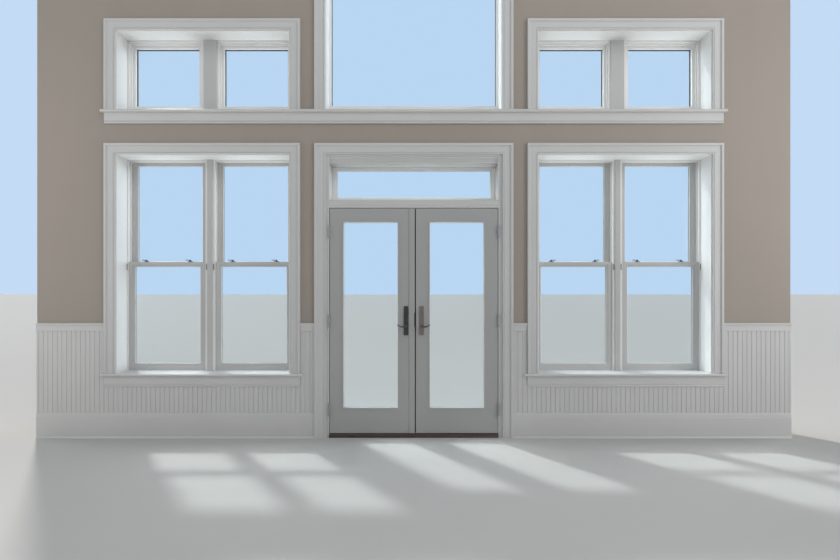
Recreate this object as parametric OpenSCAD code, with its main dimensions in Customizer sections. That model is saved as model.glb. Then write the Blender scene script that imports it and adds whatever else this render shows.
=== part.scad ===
// Window wall of a beach house: a gable wall with French doors, a transom,
// two twin double-hung windows and three fixed upper windows, with its trim.
// X runs along the wall, Y from the room to the outside, Z up from the floor.
// The room side of the plaster lies at Y = 0.

/* [Wall] */
// Plain wall between an outer casing edge and the end of the wall
end_w = 610; // [400:10:1200]
// Plain wall between the door casing and a window casing
pier_w = 127; // [110:1:300]
// Height of the wall at its two ends
eave_z = 4300; // [4100:10:5000]
// Rise of the gable for each unit of run
gable_pitch = 0.5; // [0.35:0.05:0.8]
// Thickness of the plaster on the room side
plaster_t = 13; // [9:1:20]
// Thickness of the insulated wall core
core_t = 269; // [256:1:320]
// Thickness of the siding and its backing
siding_t = 20; // [14:1:26]
// Gap between the skins and the floor
skin_lift = 12; // [8:1:20]

/* [Lower windows] */
// Clear width between the jambs of a side window
window_w = 1552; // [1400:2:1700]
// Height of the top of the lower stools
window_sill_z = 578; // [500:1:700]
// Height of the underside of the lower window heads
window_head_z = 2541; // [2400:1:2600]
// Height of the middle of the meeting rails
meeting_z = 1571; // [1400:1:1700]
// Width of the post between two units
post_w = 66; // [58:1:80]
// Width of the cover on that post
post_cover_w = 54; // [40:1:58]
// Thickness of the covers on the posts
post_cover_t = 12; // [9:1:16]
// Chamfer on the edges of those covers
cover_chamfer = 5; // [2:1:8]

/* [Sashes] */
// Thickness of a window sash
sash_t = 44; // [38:1:46]
// Width of a sash stile with its glazing lip
sash_stile = 64; // [50:1:80]
// Height of the bottom rail of a lower sash
sash_bottom_rail = 64; // [50:1:90]
// Height of each of the two rails that meet
sash_meeting_rail = 43; // [34:1:50]
// Height of the top rail of an upper sash
sash_top_rail = 38; // [34:1:70]
// Width of the glazing lip round a pane
lip_w = 15; // [8:1:18]
// How far the glazing lip lies behind the face of its sash
lip_back = 6; // [3:1:8]
// Distance from the plaster to the front of the inner stops
stop_y = 188; // [176:1:190]
// Thickness of the stops between the sashes
stop_t = 12; // [8:1:13]
// How far a stop stands off its jamb
stop_w = 12; // [8:1:16]
// Fitting gap round a fixed sash or pane
fit_gap = 0.3; // [0.1:0.1:0.6]
// How far the two meeting rails pass each other
rail_lap = 4; // [2:1:8]
// Distance from the middle of a unit to each sash lock
lock_x = 205; // [150:1:240]
// Length of the base of a sash lock
lock_l = 52; // [40:1:70]
// Width of the base of a sash lock
lock_w = 22; // [16:1:26]
// Height of a sash lock
lock_h = 21; // [16:1:24]
// Thickness of the base and of the arm of a sash lock
lock_plate_t = 6; // [4:1:7]
// Reach of the arm of a sash lock from its hub to the middle of its knob
lock_arm = 37; // [30:1:44]
// Width of that arm
lock_arm_w = 8; // [6:1:10]
// Radius of the knob on the arm
lock_knob_r = 7; // [5:0.5:8]
// Radius of the hub of a sash lock
lock_hub_r = 9; // [7:0.5:10]

/* [Upper windows] */
// Height of the top of the long upper stool
upper_sill_z = 2946; // [2900:1:3000]
// Height of the underside of the side upper heads
upper_head_z = 3658; // [3500:1:3750]
// Width of the post between the two side lights
upper_post_w = 116; // [100:1:120]
// Width of the cover on that post
upper_cover_w = 128; // [122:1:140]
// Distance from the plaster to the front of the upper posts
upper_post_y = 192; // [191:1:194]
// Distance from the plaster to the face of the fixed frames
upper_face_y = 195; // [194:1:206]
// Visible width of the outer step of a side light
light_frame_w = 20; // [14:1:30]
// Visible width of the middle step of a side light
light_stop_w = 15; // [12:1:24]
// Visible width of the inner step of a side light
light_sash_w = 25; // [16:1:32]
// Extra width of the inner step at the foot of a side light
light_foot = 48; // [0:1:60]
// How far each step lies behind the one before
light_step = 18; // [10:1:20]
// Height of the underside of the centre window head
centre_head_z = 4596; // [4200:1:4700]
// Width of each of the two steps round the centre pane
centre_step_w = 8; // [6:1:24]

/* [Door frame] */
// Clear width between the door jambs
door_w = 1524; // [1400:2:1560]
// Thickness of the door jambs
door_jamb_t = 43; // [40:1:50]
// Height of the threshold
threshold_h = 33; // [24:1:40]
// How far the threshold stands out of the wall on each side
threshold_nose = 12; // [6:1:20]
// Width of the worn slope at the front of the threshold
threshold_slope = 15; // [8:1:20]
// Height of the underside of the transom bar
bar_z = 2068; // [1980:1:2120]
// Height of the transom bar
bar_h = 70; // [55:1:90]
// Height of the bead on the transom bar over its underside
bar_bead_up = 24; // [10:1:30]
// Radius of that bead
bar_bead_r = 6; // [3:1:8]
// Height and depth of the rebate along the top of the bar
bar_rebate = 11; // [6:1:14]
// Height of the underside of the head over the transom
transom_head_z = 2475; // [2420:1:2500]
// Exposed height of the stepped head over the transom
head_steps_h = 74; // [60:1:90]
// Number of steps in that head
head_steps = 4; // [2:1:5]
// How far each step of the head lies behind the one before
head_step_back = 8; // [4:1:12]
// Width of the transom stiles
transom_stile = 42; // [34:1:60]
// Height of the bottom rail of the transom
transom_bottom_rail = 51; // [40:1:70]
// Height of the top rail of the transom
transom_top_rail = 28; // [26:1:50]
// Distance from the plaster to the face of the transom
transom_y = 200; // [180:1:220]
// How far the door stop stands off the jambs and the bar
door_stop_w = 14; // [10:1:18]
// Thickness of the door stop
door_stop_t = 36; // [20:1:44]
// Distance from the jamb face to the groove in its edge
jamb_groove_x = 12; // [10:1:20]
// Width of that groove
jamb_groove_w = 4; // [2:1:6]
// Depth of that groove
jamb_groove_d = 3; // [2:1:4]

/* [Door leaves] */
// Thickness of a leaf
leaf_t = 44; // [38:1:50]
// Distance from the plaster to the room face of a leaf
leaf_y = 5; // [3:1:8]
// Running gap round a leaf
leaf_gap = 5; // [5:0.5:7]
// Distance from the middle to the free edge of a leaf
leaf_in_x = 20; // [17:1:24]
// Width of the stiles
leaf_stile = 123; // [110:1:140]
// Height of the top rail
leaf_top_rail = 124; // [100:1:150]
// Height of the bottom rail
leaf_bottom_rail = 228; // [180:1:280]
// Width of the raised bead round the glass
leaf_bead_w = 12; // [8:1:18]
// Height of that bead over the leaf
leaf_bead_h = 4; // [2:0.5:6]
// Reach of the astragal past the middle
astragal_x = 9; // [8:1:12]
// Width of the astragal lip on the leaf
astragal_lip = 24; // [16:1:28]
// Thickness of the astragal lip
astragal_t = 6; // [4:1:8]
// Chamfer on the edges of the astragal
astragal_chamfer = 3; // [1:0.5:4]

/* [Hinges] */
// Height of the lowest hinge over the foot of its leaf
hinge_foot = 213; // [180:1:300]
// Distance of the highest hinge below the top of its leaf
hinge_head = 209; // [180:1:300]
// Length of a hinge
hinge_h = 115; // [90:1:130]
// Number of knuckles on a hinge
knuckles = 5; // [3:2:7]
// Gap between two knuckles
knuckle_gap = 0.5; // [0.3:0.1:1]
// Radius of the knuckles
knuckle_r = 8; // [6.5:0.5:8]
// Radius of the hinge pin
hinge_pin_r = 4; // [3:0.5:4.5]
// Running clearance of the pins and shafts
pin_clear = 0.06; // [0.02:0.01:0.1]
// Distance from the plaster to the pin line
pin_out = 9; // [9:0.5:11]
// Distance from the jamb face to the pin line
pin_in = 1; // [0:0.5:2]
// Thickness of the hinge plates
plate_t = 2.5; // [2:0.5:3]
// Depth of the hinge plates in the jamb
plate_d = 38; // [30:1:42]
// Distance from the plaster to the front edge of the plates
plate_y = 1.5; // [1:0.5:2.5]

/* [Handles] */
// Distance from the middle to the handle plates
handle_x = 70; // [60:1:80]
// Height of the lever spindle
lever_z = 1004; // [980:1:1030]
// Width of a handle plate
handle_plate_w = 40; // [34:1:46]
// Length of a handle plate
handle_plate_h = 261; // [230:1:280]
// Distance from the foot of a handle plate up to its spindle
handle_drop = 83; // [60:1:100]
// Thickness of a handle plate
handle_plate_t = 8; // [6:1:10]
// Corner radius of a handle plate
handle_corner = 6; // [3:1:10]
// Distance from the spindle up to the lock cylinder
cylinder_up = 111; // [90:1:130]
// Radius of the lock cylinder
cylinder_r = 12; // [9:1:15]
// How far the lock cylinder stands off its plate
cylinder_out = 5; // [3:1:8]
// Radius of the lever shaft
shaft_r = 9; // [7:0.5:10]
// Radius of the hub of a lever
lever_hub_r = 11; // [10.5:0.5:13]
// Clearance of the lever shaft in the leaf
shaft_clear = 4; // [3:0.5:5]
// Length of a lever from its shaft to its tip
lever_l = 76; // [60:1:110]
// Thickness of a lever
lever_t = 13; // [9:1:16]
// Height of a lever at its shaft
lever_root_h = 18; // [14:1:20]
// Height of a lever at its tip
lever_tip_h = 10; // [8:1:14]
// How far a lever dips in its middle
lever_dip = 7; // [3:1:9]
// How far the tip of a lever rises
lever_rise = 15; // [6:1:18]
// Distance from a handle plate to the far side of its lever
lever_reach = 48; // [40:1:60]

/* [Trim] */
// Width of the casings
casing_w = 96; // [85:1:110]
// Thickness of the field of a casing
casing_t = 15; // [12:1:18]
// Thickness of the outer band of a casing
band_t = 28; // [24:1:34]
// Width of the outer band of a casing
band_w = 22; // [14:1:28]
// Radius of the rounded edges of that band
band_round = 3; // [1:0.5:4]
// Radius of the cove between field and band
cove_r = 9; // [4:1:12]
// Radius of the bead at the inner edge of a casing
casing_bead_r = 6; // [4:1:8]
// Width of the sunk line beside that bead
quirk_w = 3; // [2:0.5:5]
// Depth of that sunk line
quirk_d = 4; // [2:0.5:6]
// Strip of window jamb left bare beside a casing
reveal = 8; // [5:1:10]
// Strip of door jamb left bare beside a casing
door_reveal = 35; // [30:1:38]
// Thickness of the window jambs
jamb_t = 32; // [25:1:36]
// Thickness of the lower stools
stool_t = 22; // [18:1:28]
// Thickness of the long upper stool
upper_stool_t = 24; // [18:1:30]
// How far a stool stands into the room
stool_out = 45; // [36:1:60]
// How far a stool runs past its casings
stool_horn = 25; // [15:1:30]
// Height of the lower aprons
apron_h = 98; // [80:1:120]
// Height of the long upper apron
upper_apron_h = 99; // [80:1:120]
// Thickness of an apron
apron_t = 18; // [14:1:22]
// Radius of the bead at the foot of an apron
apron_bead_r = 8; // [5:1:9]
// Depth of the sunk line over that bead
apron_quirk = 4; // [2:0.5:6]
// Height of the slope into that sunk line, over its depth
apron_slope = 2; // [1:0.5:4]
// How far that bead stands off the apron
apron_bead_out = 2; // [1:0.5:3]

/* [Wainscot] */
// Height of the top of the wainscot
wainscot_z = 1030; // [950:1:1060]
// Height of the flat rail and cap together
wainscot_rail_h = 71; // [50:1:90]
// Thickness of the flat rail
wainscot_rail_t = 16; // [13:1:20]
// How far the cap stands off the plaster
wainscot_cap_out = 26; // [24:1:28]
// Thickness of the cap
wainscot_cap_t = 14; // [10:1:20]
// Height of the slope under the cap
wainscot_cove = 5; // [2:1:10]
// Radius of the top edge of the cap
wainscot_round = 6; // [3:1:8]
// Thickness of the beaded boards
bead_board_t = 9; // [7:1:12]
// Distance between two grooves
bead_pitch = 42; // [30:1:60]
// Width of a groove
bead_groove_w = 6; // [4:1:8]
// Depth of a groove
bead_groove_d = 4; // [2:0.5:5]
// Height of the baseboard
base_h = 182; // [140:1:220]
// Thickness of the baseboard
base_t = 16; // [14:1:20]
// Height of the moulding on the baseboard
base_cap_h = 40; // [30:1:50]
// Depth of the step under that moulding
base_step = 2; // [1:0.5:3]
// Radius of the shoe moulding at the floor
shoe_r = 14; // [8:1:18]

/* [Outside] */
// Width of the outer casings
out_casing_w = 92; // [70:1:96]
// Thickness of the outer casings
out_casing_t = 30; // [28:1:40]
// Height of the outer sills
out_sill_h = 45; // [30:1:60]
// How far an outer sill stands off the core
out_sill_d = 65; // [50:1:80]
// Fall of the top of an outer sill
out_sill_fall = 12; // [6:1:20]
// Height of the drip caps
drip_h = 22; // [15:1:30]
// How far a drip cap stands off the core
drip_d = 46; // [42:1:60]
// Height of the front edge of a drip cap
drip_edge = 8; // [5:1:12]
// How far sills and drip caps run past their casings
drip_horn = 10; // [4:1:14]
// Width of the corner boards
corner_w = 110; // [80:1:120]
// Upright height of the rake boards
rake_h = 220; // [150:1:260]

/* [Hidden] */
$fn = 48;
eps = 1;

// Colours
core_colour = [0.82, 0.71, 0.55];
plaster_colour = [0.60, 0.56, 0.52];
siding_colour = [0.80, 0.82, 0.82];
trim_colour = [0.95, 0.95, 0.94];
door_colour = [0.90, 0.90, 0.90];
wood_colour = [0.25, 0.17, 0.12];
bronze_colour = [0.20, 0.18, 0.16];
glass_colour = [0.80, 0.90, 0.95, 0.4];

// Depths through the wall
core_y = plaster_t;
siding_y = core_y + core_t;
wall_t = siding_y + siding_t;

// Places along the wall
door_half = door_w / 2;
door_hole_half = door_half + door_jamb_t;
door_casing_half = door_half + door_reveal + casing_w;
window_half = window_w / 2;
window_cased_half = window_half + reveal + casing_w;
window_x = door_casing_half + pier_w + window_cased_half;
cased_end_x = window_x + window_cased_half;
half_w = cased_end_x + end_w;
centre_half = door_half + door_reveal - reveal;
split_x = door_casing_half;
function gable_z(x) = eave_z + (half_w - abs(x)) * gable_pitch;

// Rough openings, each as [middle, half width, bottom, top]
door_casing_z = transom_head_z + head_steps_h;
door_hole_z = door_casing_z + reveal;
upper_foot_z = upper_sill_z - upper_stool_t;
door_hole = [0, door_hole_half, 0, door_hole_z];
lower_hole = [window_x, window_half + jamb_t, window_sill_z - stool_t, window_head_z + jamb_t];
upper_hole = [window_x, window_half + jamb_t, upper_foot_z, upper_head_z + jamb_t];
centre_hole = [0, centre_half + jamb_t, upper_foot_z, centre_head_z + jamb_t];

// Sash places through the wall
bottom_sash_y = stop_y + stop_t + fit_gap;
parting_y = bottom_sash_y + sash_t + fit_gap;
top_sash_y = parting_y + stop_t + fit_gap;
outer_stop_y = top_sash_y + sash_t + fit_gap;
outer_stop_least = 6;
frame_end_y = max(wall_t, outer_stop_y + outer_stop_least);
unit_w = (window_w - post_w) / 2;
unit_x = (post_w + unit_w) / 2;

// Panes of glass
glass_t = 18;
glass_bite = 10;

// Door leaves
leaf_out_x = door_half - leaf_gap;
leaf_z = threshold_h + leaf_gap;
leaf_top_z = bar_z - leaf_gap;
leaf_back_y = leaf_y + leaf_t;
door_stop_y = leaf_back_y + leaf_gap;

// Hinges
low_hinge_z = leaf_z + hinge_foot;
high_hinge_z = leaf_top_z - hinge_head;
hinge_zs = [low_hinge_z, (low_hinge_z + high_hinge_z) / 2, high_hinge_z];
pin_x = door_half + pin_in;
knuckle_h = hinge_h / knuckles;

// Points on an arc from angle a to angle b
function arc(x, y, r, a, b, n = 6) =
    [for (i = [0:n]) [x + r * cos(a + (b - a) * i / n), y + r * sin(a + (b - a) * i / n)]];

// A flat plate: its outline lies in X and Z, and it runs from y0 to y0 + t
module upright(y0, t) {
    translate([0, y0 + t, 0]) rotate([90, 0, 0]) linear_extrude(t) children();
}

// A run along X: its section lies in Y and Z
module along_x(x0, x1) {
    translate([x0, 0, 0]) rotate([90, 0, 90]) linear_extrude(x1 - x0) children();
}

// A box between two corners
module block(x0, x1, y0, y1, z0, z1) {
    translate([x0, y0, z0]) cube([x1 - x0, y1 - y0, z1 - z0]);
}

// A round bar along Y
module rod(x, z, r, y0, y1) {
    translate([x, y0, z]) rotate([-90, 0, 0]) cylinder(r = r, h = y1 - y0);
}

// The same thing on the left and on the right
module both() {
    children();
    mirror([1, 0, 0]) children();
}

// A hole through the wall from y0 to y1, given as [middle, half width, bottom, top]
module hole(h, y0, y1, grow = 0, drop = 0) {
    block(h[0] - h[1] - grow, h[0] + h[1] + grow, y0, y1, h[2] - drop, h[3] + grow);
}

// A ring in X and Z from y0 to y1, open inside
module ring(x0, x1, z0, z1, y0, y1, side, bottom, top) {
    difference() {
        block(x0, x1, y0, y1, z0, z1);
        block(x0 + side, x1 - side, y0 - eps, y1 + eps, z0 + bottom, z1 - top);
    }
}

// The groove in a frame that holds a pane: y is the pane's middle
module pocket(x0, x1, z0, z1, y, side, bottom, top) {
    block(x0 + side - glass_bite, x1 - side + glass_bite, y - glass_t / 2, y + glass_t / 2,
          z0 + bottom - glass_bite, z1 - top + glass_bite);
}

// The pane in that groove, which stands on the groove's floor
module pane(x0, x1, z0, z1, y, side, bottom, top) {
    bite = glass_bite - fit_gap;
    color(glass_colour)
        block(x0 + side - bite, x1 - side + bite, y - glass_t / 2 + fit_gap,
              y + glass_t / 2 - fit_gap, z0 + bottom - glass_bite, z1 - top + bite);
}

// A sash with a glazing lip on both sides and a groove for its pane
module sash(x0, x1, z0, z1, y, side, bottom, top) {
    difference() {
        union() {
            ring(x0, x1, z0, z1, y, y + sash_t, side - lip_w, bottom - lip_w, top - lip_w);
            ring(x0, x1, z0, z1, y + lip_back, y + sash_t - lip_back, side, bottom, top);
        }
        pocket(x0, x1, z0, z1, y + sash_t / 2, side, bottom, top);
    }
}

// Casings, stools and aprons

// Section of a casing: across its face from the opening, and out from the plaster
band_x = casing_w - band_w;
cove = min(cove_r, band_t - casing_t - band_round - 0.5);
casing_section = concat(
    [[0, 0]],
    arc(casing_bead_r, casing_t - quirk_d, casing_bead_r, 180, 0, 8),
    [[2 * casing_bead_r + quirk_w, casing_t - quirk_d], [2 * casing_bead_r + quirk_w, casing_t]],
    arc(band_x - cove, casing_t + cove, cove, 270, 360, 5),
    arc(band_x + band_round, band_t - band_round, band_round, 180, 90, 3),
    arc(casing_w - band_round, band_t - band_round, band_round, 90, 0, 3),
    [[casing_w, 0]]
);

// Three mitred lengths round an opening: half width and top are at the casing's inner edge
module casing(half, bottom, top) {
    color(trim_colour) union() {
        both() intersection() {
            translate([half, 0, bottom]) linear_extrude(top + casing_w - bottom)
                polygon([for (p = casing_section) [p[0], -p[1]]]);
            upright(-band_t - eps, band_t + 2 * eps)
                polygon([[half, bottom], [half, top], [half + casing_w, top + casing_w],
                         [half + casing_w, bottom]]);
        }
        intersection() {
            along_x(-half - casing_w, half + casing_w)
                polygon([for (p = casing_section) [-p[1], top + p[0]]]);
            upright(-band_t - eps, band_t + 2 * eps)
                polygon([[-half, top], [half, top], [half + casing_w, top + casing_w],
                         [-half - casing_w, top + casing_w]]);
        }
    }
}

// Section of a stool nosing, from the plaster into the room
function nosing(z, t) = concat(
    [[0, z - t]], arc(-stool_out + t / 2, z - t / 2, t / 2, 270, 90, 8), [[0, z]]
);

// Section of an apron that hangs from z, with a bead at its foot
function apron_section(z, h) =
    let (foot = z - h, bead_top = z - h + 2 * apron_bead_r, sunk = apron_t - apron_quirk)
    concat(
        [[0, z], [-apron_t, z], [-apron_t, bead_top + apron_quirk + apron_slope]],
        [[-sunk, bead_top + apron_quirk], [-sunk, bead_top]],
        arc(-apron_t - apron_bead_out + apron_bead_r, foot + apron_bead_r, apron_bead_r, 90, 270, 8),
        [[0, foot]]
    );

// Wall

module side_wall() {
    color(core_colour) difference() {
        upright(core_y, core_t)
            polygon([[door_hole_half, 0], [half_w, 0], [half_w, eave_z],
                     [split_x, gable_z(split_x)], [split_x, door_hole_z],
                     [door_hole_half, door_hole_z]]);
        hole(lower_hole, core_y - eps, siding_y + eps);
        hole(upper_hole, core_y - eps, siding_y + eps);
    }
}

module wall_left() {
    mirror([1, 0, 0]) side_wall();
}

module wall_right() {
    side_wall();
}

module wall_over_door() {
    color(core_colour) difference() {
        upright(core_y, core_t)
            polygon([[-split_x, door_hole_z], [split_x, door_hole_z], [split_x, gable_z(split_x)],
                     [0, gable_z(0)], [-split_x, gable_z(split_x)]]);
        hole(centre_hole, core_y - eps, siding_y + eps);
    }
}

module interior_plaster() {
    color(plaster_colour) difference() {
        upright(0, plaster_t)
            polygon([[-half_w, skin_lift], [half_w, skin_lift], [half_w, eave_z],
                     [0, gable_z(0)], [-half_w, eave_z]]);
        both() {
            hole(lower_hole, -eps, plaster_t + eps);
            hole(upper_hole, -eps, plaster_t + eps);
        }
        hole(centre_hole, -eps, plaster_t + eps);
        hole(door_hole, -eps, plaster_t + eps);
    }
}

module exterior_siding() {
    inner = half_w - corner_w;
    color(siding_colour) difference() {
        upright(siding_y, siding_t)
            polygon([[-inner, skin_lift], [inner, skin_lift], [inner, gable_z(inner) - rake_h],
                     [0, gable_z(0) - rake_h], [-inner, gable_z(inner) - rake_h]]);
        both() {
            outer_hole(lower_hole);
            outer_hole(upper_hole);
        }
        outer_hole(centre_hole);
        outer_hole(door_hole);
    }
}

// Space in the siding for an outer casing, its drip cap and its sill
module outer_hole(h) {
    y0 = siding_y - eps;
    y1 = wall_t + eps;
    horn = h[1] + out_casing_w + drip_horn;
    cap_z = h[3] + out_casing_w;
    hole(h, y0, y1, out_casing_w, out_sill_h);
    block(h[0] - horn, h[0] + horn, y0, y1, cap_z - eps, cap_z + drip_h);
    block(h[0] - horn, h[0] + horn, y0, y1, h[2] - out_sill_h, h[2]);
}

// Door frame

module door_casing() {
    casing(door_half + door_reveal, 0, door_casing_z);
}

// Section of the stepped head over the transom
head_step = head_steps_h / head_steps;
head_section = concat(
    [[wall_t, door_hole_z], [0, door_hole_z]],
    [for (i = [1:head_steps - 1]) for (back = [i - 1, i])
        [back * head_step_back, door_casing_z - i * head_step]],
    [[(head_steps - 1) * head_step_back, transom_head_z], [wall_t, transom_head_z]]
);

// Section of the moulded transom bar
bar_top = bar_z + bar_h;
bar_section = concat(
    [[wall_t, bar_z], [0, bar_z]],
    arc(0, bar_z + bar_bead_up, bar_bead_r, 270, 90, 6),
    [[0, bar_top - bar_rebate], [bar_rebate, bar_top - bar_rebate], [bar_rebate, bar_top]],
    [[wall_t, bar_top]]
);

module door_frame() {
    stop_back = door_stop_y + door_stop_t;
    groove_x = door_half + jamb_groove_x;
    color(trim_colour) difference() {
        union() {
            both() {
                block(door_half, door_hole_half, 0, wall_t, 0, door_hole_z);
                block(door_half - door_stop_w, door_half + eps, door_stop_y, stop_back,
                      threshold_h, bar_z + eps);
            }
            along_x(-door_half - eps, door_half + eps) polygon(head_section);
            along_x(-door_half - eps, door_half + eps) polygon(bar_section);
            block(-door_half, door_half, door_stop_y, stop_back, bar_z - door_stop_w, bar_z + eps);
        }
        both() {
            for (z = hinge_zs)
                block(door_half - eps, door_half + plate_t, -eps, plate_d,
                      z - hinge_h / 2, z + hinge_h / 2);
            block(groove_x, groove_x + jamb_groove_w, -eps, jamb_groove_d, -eps, door_casing_z);
        }
    }
}

module door_threshold() {
    front = -threshold_nose;
    back = wall_t + threshold_nose;
    color(wood_colour) along_x(-door_half, door_half)
        polygon([[front, 0], [front, threshold_h - threshold_slope],
                 [front + threshold_slope, threshold_h], [door_stop_y + door_stop_t, threshold_h],
                 [back, threshold_h - threshold_slope], [back, 0]]);
}

// The transom's places, as [left, right, bottom, top]
transom = [-door_half + fit_gap, door_half - fit_gap, bar_top, transom_head_z - fit_gap];

module transom_sash() {
    color(trim_colour)
        sash(transom[0], transom[1], transom[2], transom[3], transom_y, transom_stile,
             transom_bottom_rail, transom_top_rail);
}

module transom_glass() {
    pane(transom[0], transom[1], transom[2], transom[3], transom_y + sash_t / 2,
         transom_stile, transom_bottom_rail, transom_top_rail);
}

// Lower windows

module lower_window_casings() {
    both() translate([window_x, 0, 0]) casing(window_half + reveal, window_sill_z, window_head_z + reveal);
}

module lower_window_stools() {
    reach = window_cased_half + stool_horn;
    color(trim_colour) both() translate([window_x, 0, 0]) {
        along_x(-reach, reach) polygon(nosing(window_sill_z, stool_t));
        block(-window_half, window_half, -eps, stop_y, window_sill_z - stool_t, window_sill_z);
    }
}

module lower_window_aprons() {
    color(trim_colour) both() translate([window_x, 0, 0])
        along_x(-window_cased_half, window_cased_half)
            polygon(apron_section(window_sill_z - stool_t, apron_h));
}

// Jambs, head, sill, post and stops of a twin double-hung window
module window_frame() {
    half = window_half;
    z0 = window_sill_z - stool_t;
    z1 = window_head_z;
    color(trim_colour) union() {
        both() {
            block(half, half + jamb_t, 0, frame_end_y, z0, z1 + jamb_t);
            frame_stops(half - stop_w, half + eps, window_sill_z, z1 + eps);
            frame_stops(post_w / 2 - eps, post_w / 2 + stop_w, window_sill_z, z1 + eps);
        }
        block(-half - eps, half + eps, 0, frame_end_y, z1, z1 + jamb_t);
        block(-half - eps, half + eps, stop_y, frame_end_y, z0, window_sill_z);
        block(-post_w / 2, post_w / 2, stop_y, frame_end_y, window_sill_z - eps, z1 + eps);
        frame_stops(-half, half, z1 - stop_w, z1 + eps);
    }
}

// Inner, parting and outer stops
module frame_stops(x0, x1, z0, z1) {
    block(x0, x1, stop_y, stop_y + stop_t, z0, z1);
    block(x0, x1, parting_y, parting_y + stop_t, z0, z1);
    block(x0, x1, outer_stop_y, frame_end_y, z0, z1);
}

module left_window_frame() {
    translate([-window_x, 0, 0]) window_frame();
}

module right_window_frame() {
    translate([window_x, 0, 0]) window_frame();
}

// A chamfered cover of width w on a post whose front is at y
module post_cover(w, y, z0, z1) {
    half = w / 2;
    face = y - post_cover_t;
    translate([0, 0, z0]) linear_extrude(z1 - z0)
        polygon([[-half, y], [-half, face + cover_chamfer], [-half + cover_chamfer, face],
                 [half - cover_chamfer, face], [half, face + cover_chamfer], [half, y]]);
}

module post_covers() {
    color(trim_colour) both() translate([window_x, 0, 0]) {
        post_cover(post_cover_w, stop_y, window_sill_z, window_head_z);
        post_cover(upper_cover_w, upper_post_y, upper_sill_z, upper_head_z);
    }
}

// Places of the four sash units along the wall, and heights of their sashes
unit_xs = [for (s = [-1, 1]) for (u = [-1, 1]) s * window_x + u * unit_x];
sash_half = unit_w / 2 - fit_gap;
bottom_sash_top = meeting_z + (sash_meeting_rail - rail_lap) / 2;
top_sash_foot = meeting_z - (sash_meeting_rail - rail_lap) / 2;
top_sash_top = window_head_z - fit_gap;

module bottom_sashes() {
    color(trim_colour) for (x = unit_xs)
        sash(x - sash_half, x + sash_half, window_sill_z, bottom_sash_top, bottom_sash_y,
             sash_stile, sash_bottom_rail, sash_meeting_rail);
}

module top_sashes() {
    color(trim_colour) for (x = unit_xs)
        sash(x - sash_half, x + sash_half, top_sash_foot, top_sash_top, top_sash_y,
             sash_stile, sash_meeting_rail, sash_top_rail);
}

module lower_window_glass() {
    for (x = unit_xs) {
        pane(x - sash_half, x + sash_half, window_sill_z, bottom_sash_top,
             bottom_sash_y + sash_t / 2, sash_stile, sash_bottom_rail, sash_meeting_rail);
        pane(x - sash_half, x + sash_half, top_sash_foot, top_sash_top,
             top_sash_y + sash_t / 2, sash_stile, sash_meeting_rail, sash_top_rail);
    }
}

// A cam lock on a meeting rail: base with round ends, hub, arm and knob
module sash_lock() {
    r = lock_w / 2;
    end_x = lock_l / 2 - r;
    block(-end_x, end_x, -r, r, 0, lock_plate_t);
    for (x = [-end_x, end_x]) translate([x, 0, 0]) cylinder(r = r, h = lock_plate_t);
    cylinder(r = lock_hub_r, h = lock_h);
    translate([0, 0, lock_h - lock_plate_t]) {
        block(-lock_arm, 0, -lock_arm_w / 2, lock_arm_w / 2, 0, lock_plate_t);
        translate([-lock_arm, 0, 0]) cylinder(r = lock_knob_r, h = lock_plate_t);
    }
}

// Which way the arms point on each unit, from left to right
lock_ways = [1, 1, -1, 1];

module sash_locks() {
    color("dimgray") for (i = [0:len(unit_xs) - 1]) for (s = [-1, 1])
        translate([unit_xs[i] + s * lock_x, bottom_sash_y + sash_t / 2, bottom_sash_top])
            scale([lock_ways[i], 1, 1]) union() sash_lock();
}

// Upper windows

module upper_side_casings() {
    both() translate([window_x, 0, 0]) casing(window_half + reveal, upper_sill_z, upper_head_z + reveal);
}

module upper_centre_casing() {
    casing(centre_half + reveal, upper_sill_z, centre_head_z + reveal);
}

// Jambs, head and sill of a fixed window
module fixed_frame(half, head_z) {
    both() block(half, half + jamb_t, 0, wall_t, upper_foot_z, head_z + jamb_t);
    block(-half - eps, half + eps, 0, wall_t, head_z, head_z + jamb_t);
    block(-half - eps, half + eps, stop_y, wall_t, upper_foot_z, upper_sill_z);
}

// Steps of the glazed borders, as running widths from the frame to the glass
side_steps = [light_frame_w, light_frame_w + light_stop_w, light_frame_w + light_stop_w + light_sash_w];
centre_steps = [centre_step_w, 2 * centre_step_w];
light_back = 20;
light_pane_back = 37;
function last(list) = list[len(list) - 1];
centre_foot = last(side_steps) + light_foot - last(centre_steps);
function pane_y(steps) = upper_face_y + (len(steps) - 1) * light_step + light_pane_back;

// A glazed border that steps back towards its pane, with extra width at its foot
module light(x0, x1, z1, steps, foot) {
    back_y = pane_y(steps) + light_back;
    difference() {
        union() for (i = [0:len(steps) - 1]) {
            extra = i == len(steps) - 1 ? foot : 0;
            ring(x0 - eps, x1 + eps, upper_sill_z - eps, z1 + eps, upper_face_y + i * light_step,
                 back_y, steps[i] + eps, steps[i] + eps + extra, steps[i] + eps);
        }
        pocket(x0, x1, upper_sill_z, z1, pane_y(steps), last(steps), last(steps) + foot, last(steps));
    }
}

module upper_side_frame() {
    color(trim_colour) union() {
        fixed_frame(window_half, upper_head_z);
        block(-upper_post_w / 2, upper_post_w / 2, upper_post_y, wall_t, upper_sill_z - eps,
              upper_head_z + eps);
        both() light(upper_post_w / 2, window_half, upper_head_z, side_steps, light_foot);
    }
}

module upper_left_frame() {
    translate([-window_x, 0, 0]) upper_side_frame();
}

module upper_right_frame() {
    translate([window_x, 0, 0]) upper_side_frame();
}

module upper_centre_frame() {
    color(trim_colour) union() {
        fixed_frame(centre_half, centre_head_z);
        light(-centre_half, centre_half, centre_head_z, centre_steps, centre_foot);
    }
}

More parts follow.
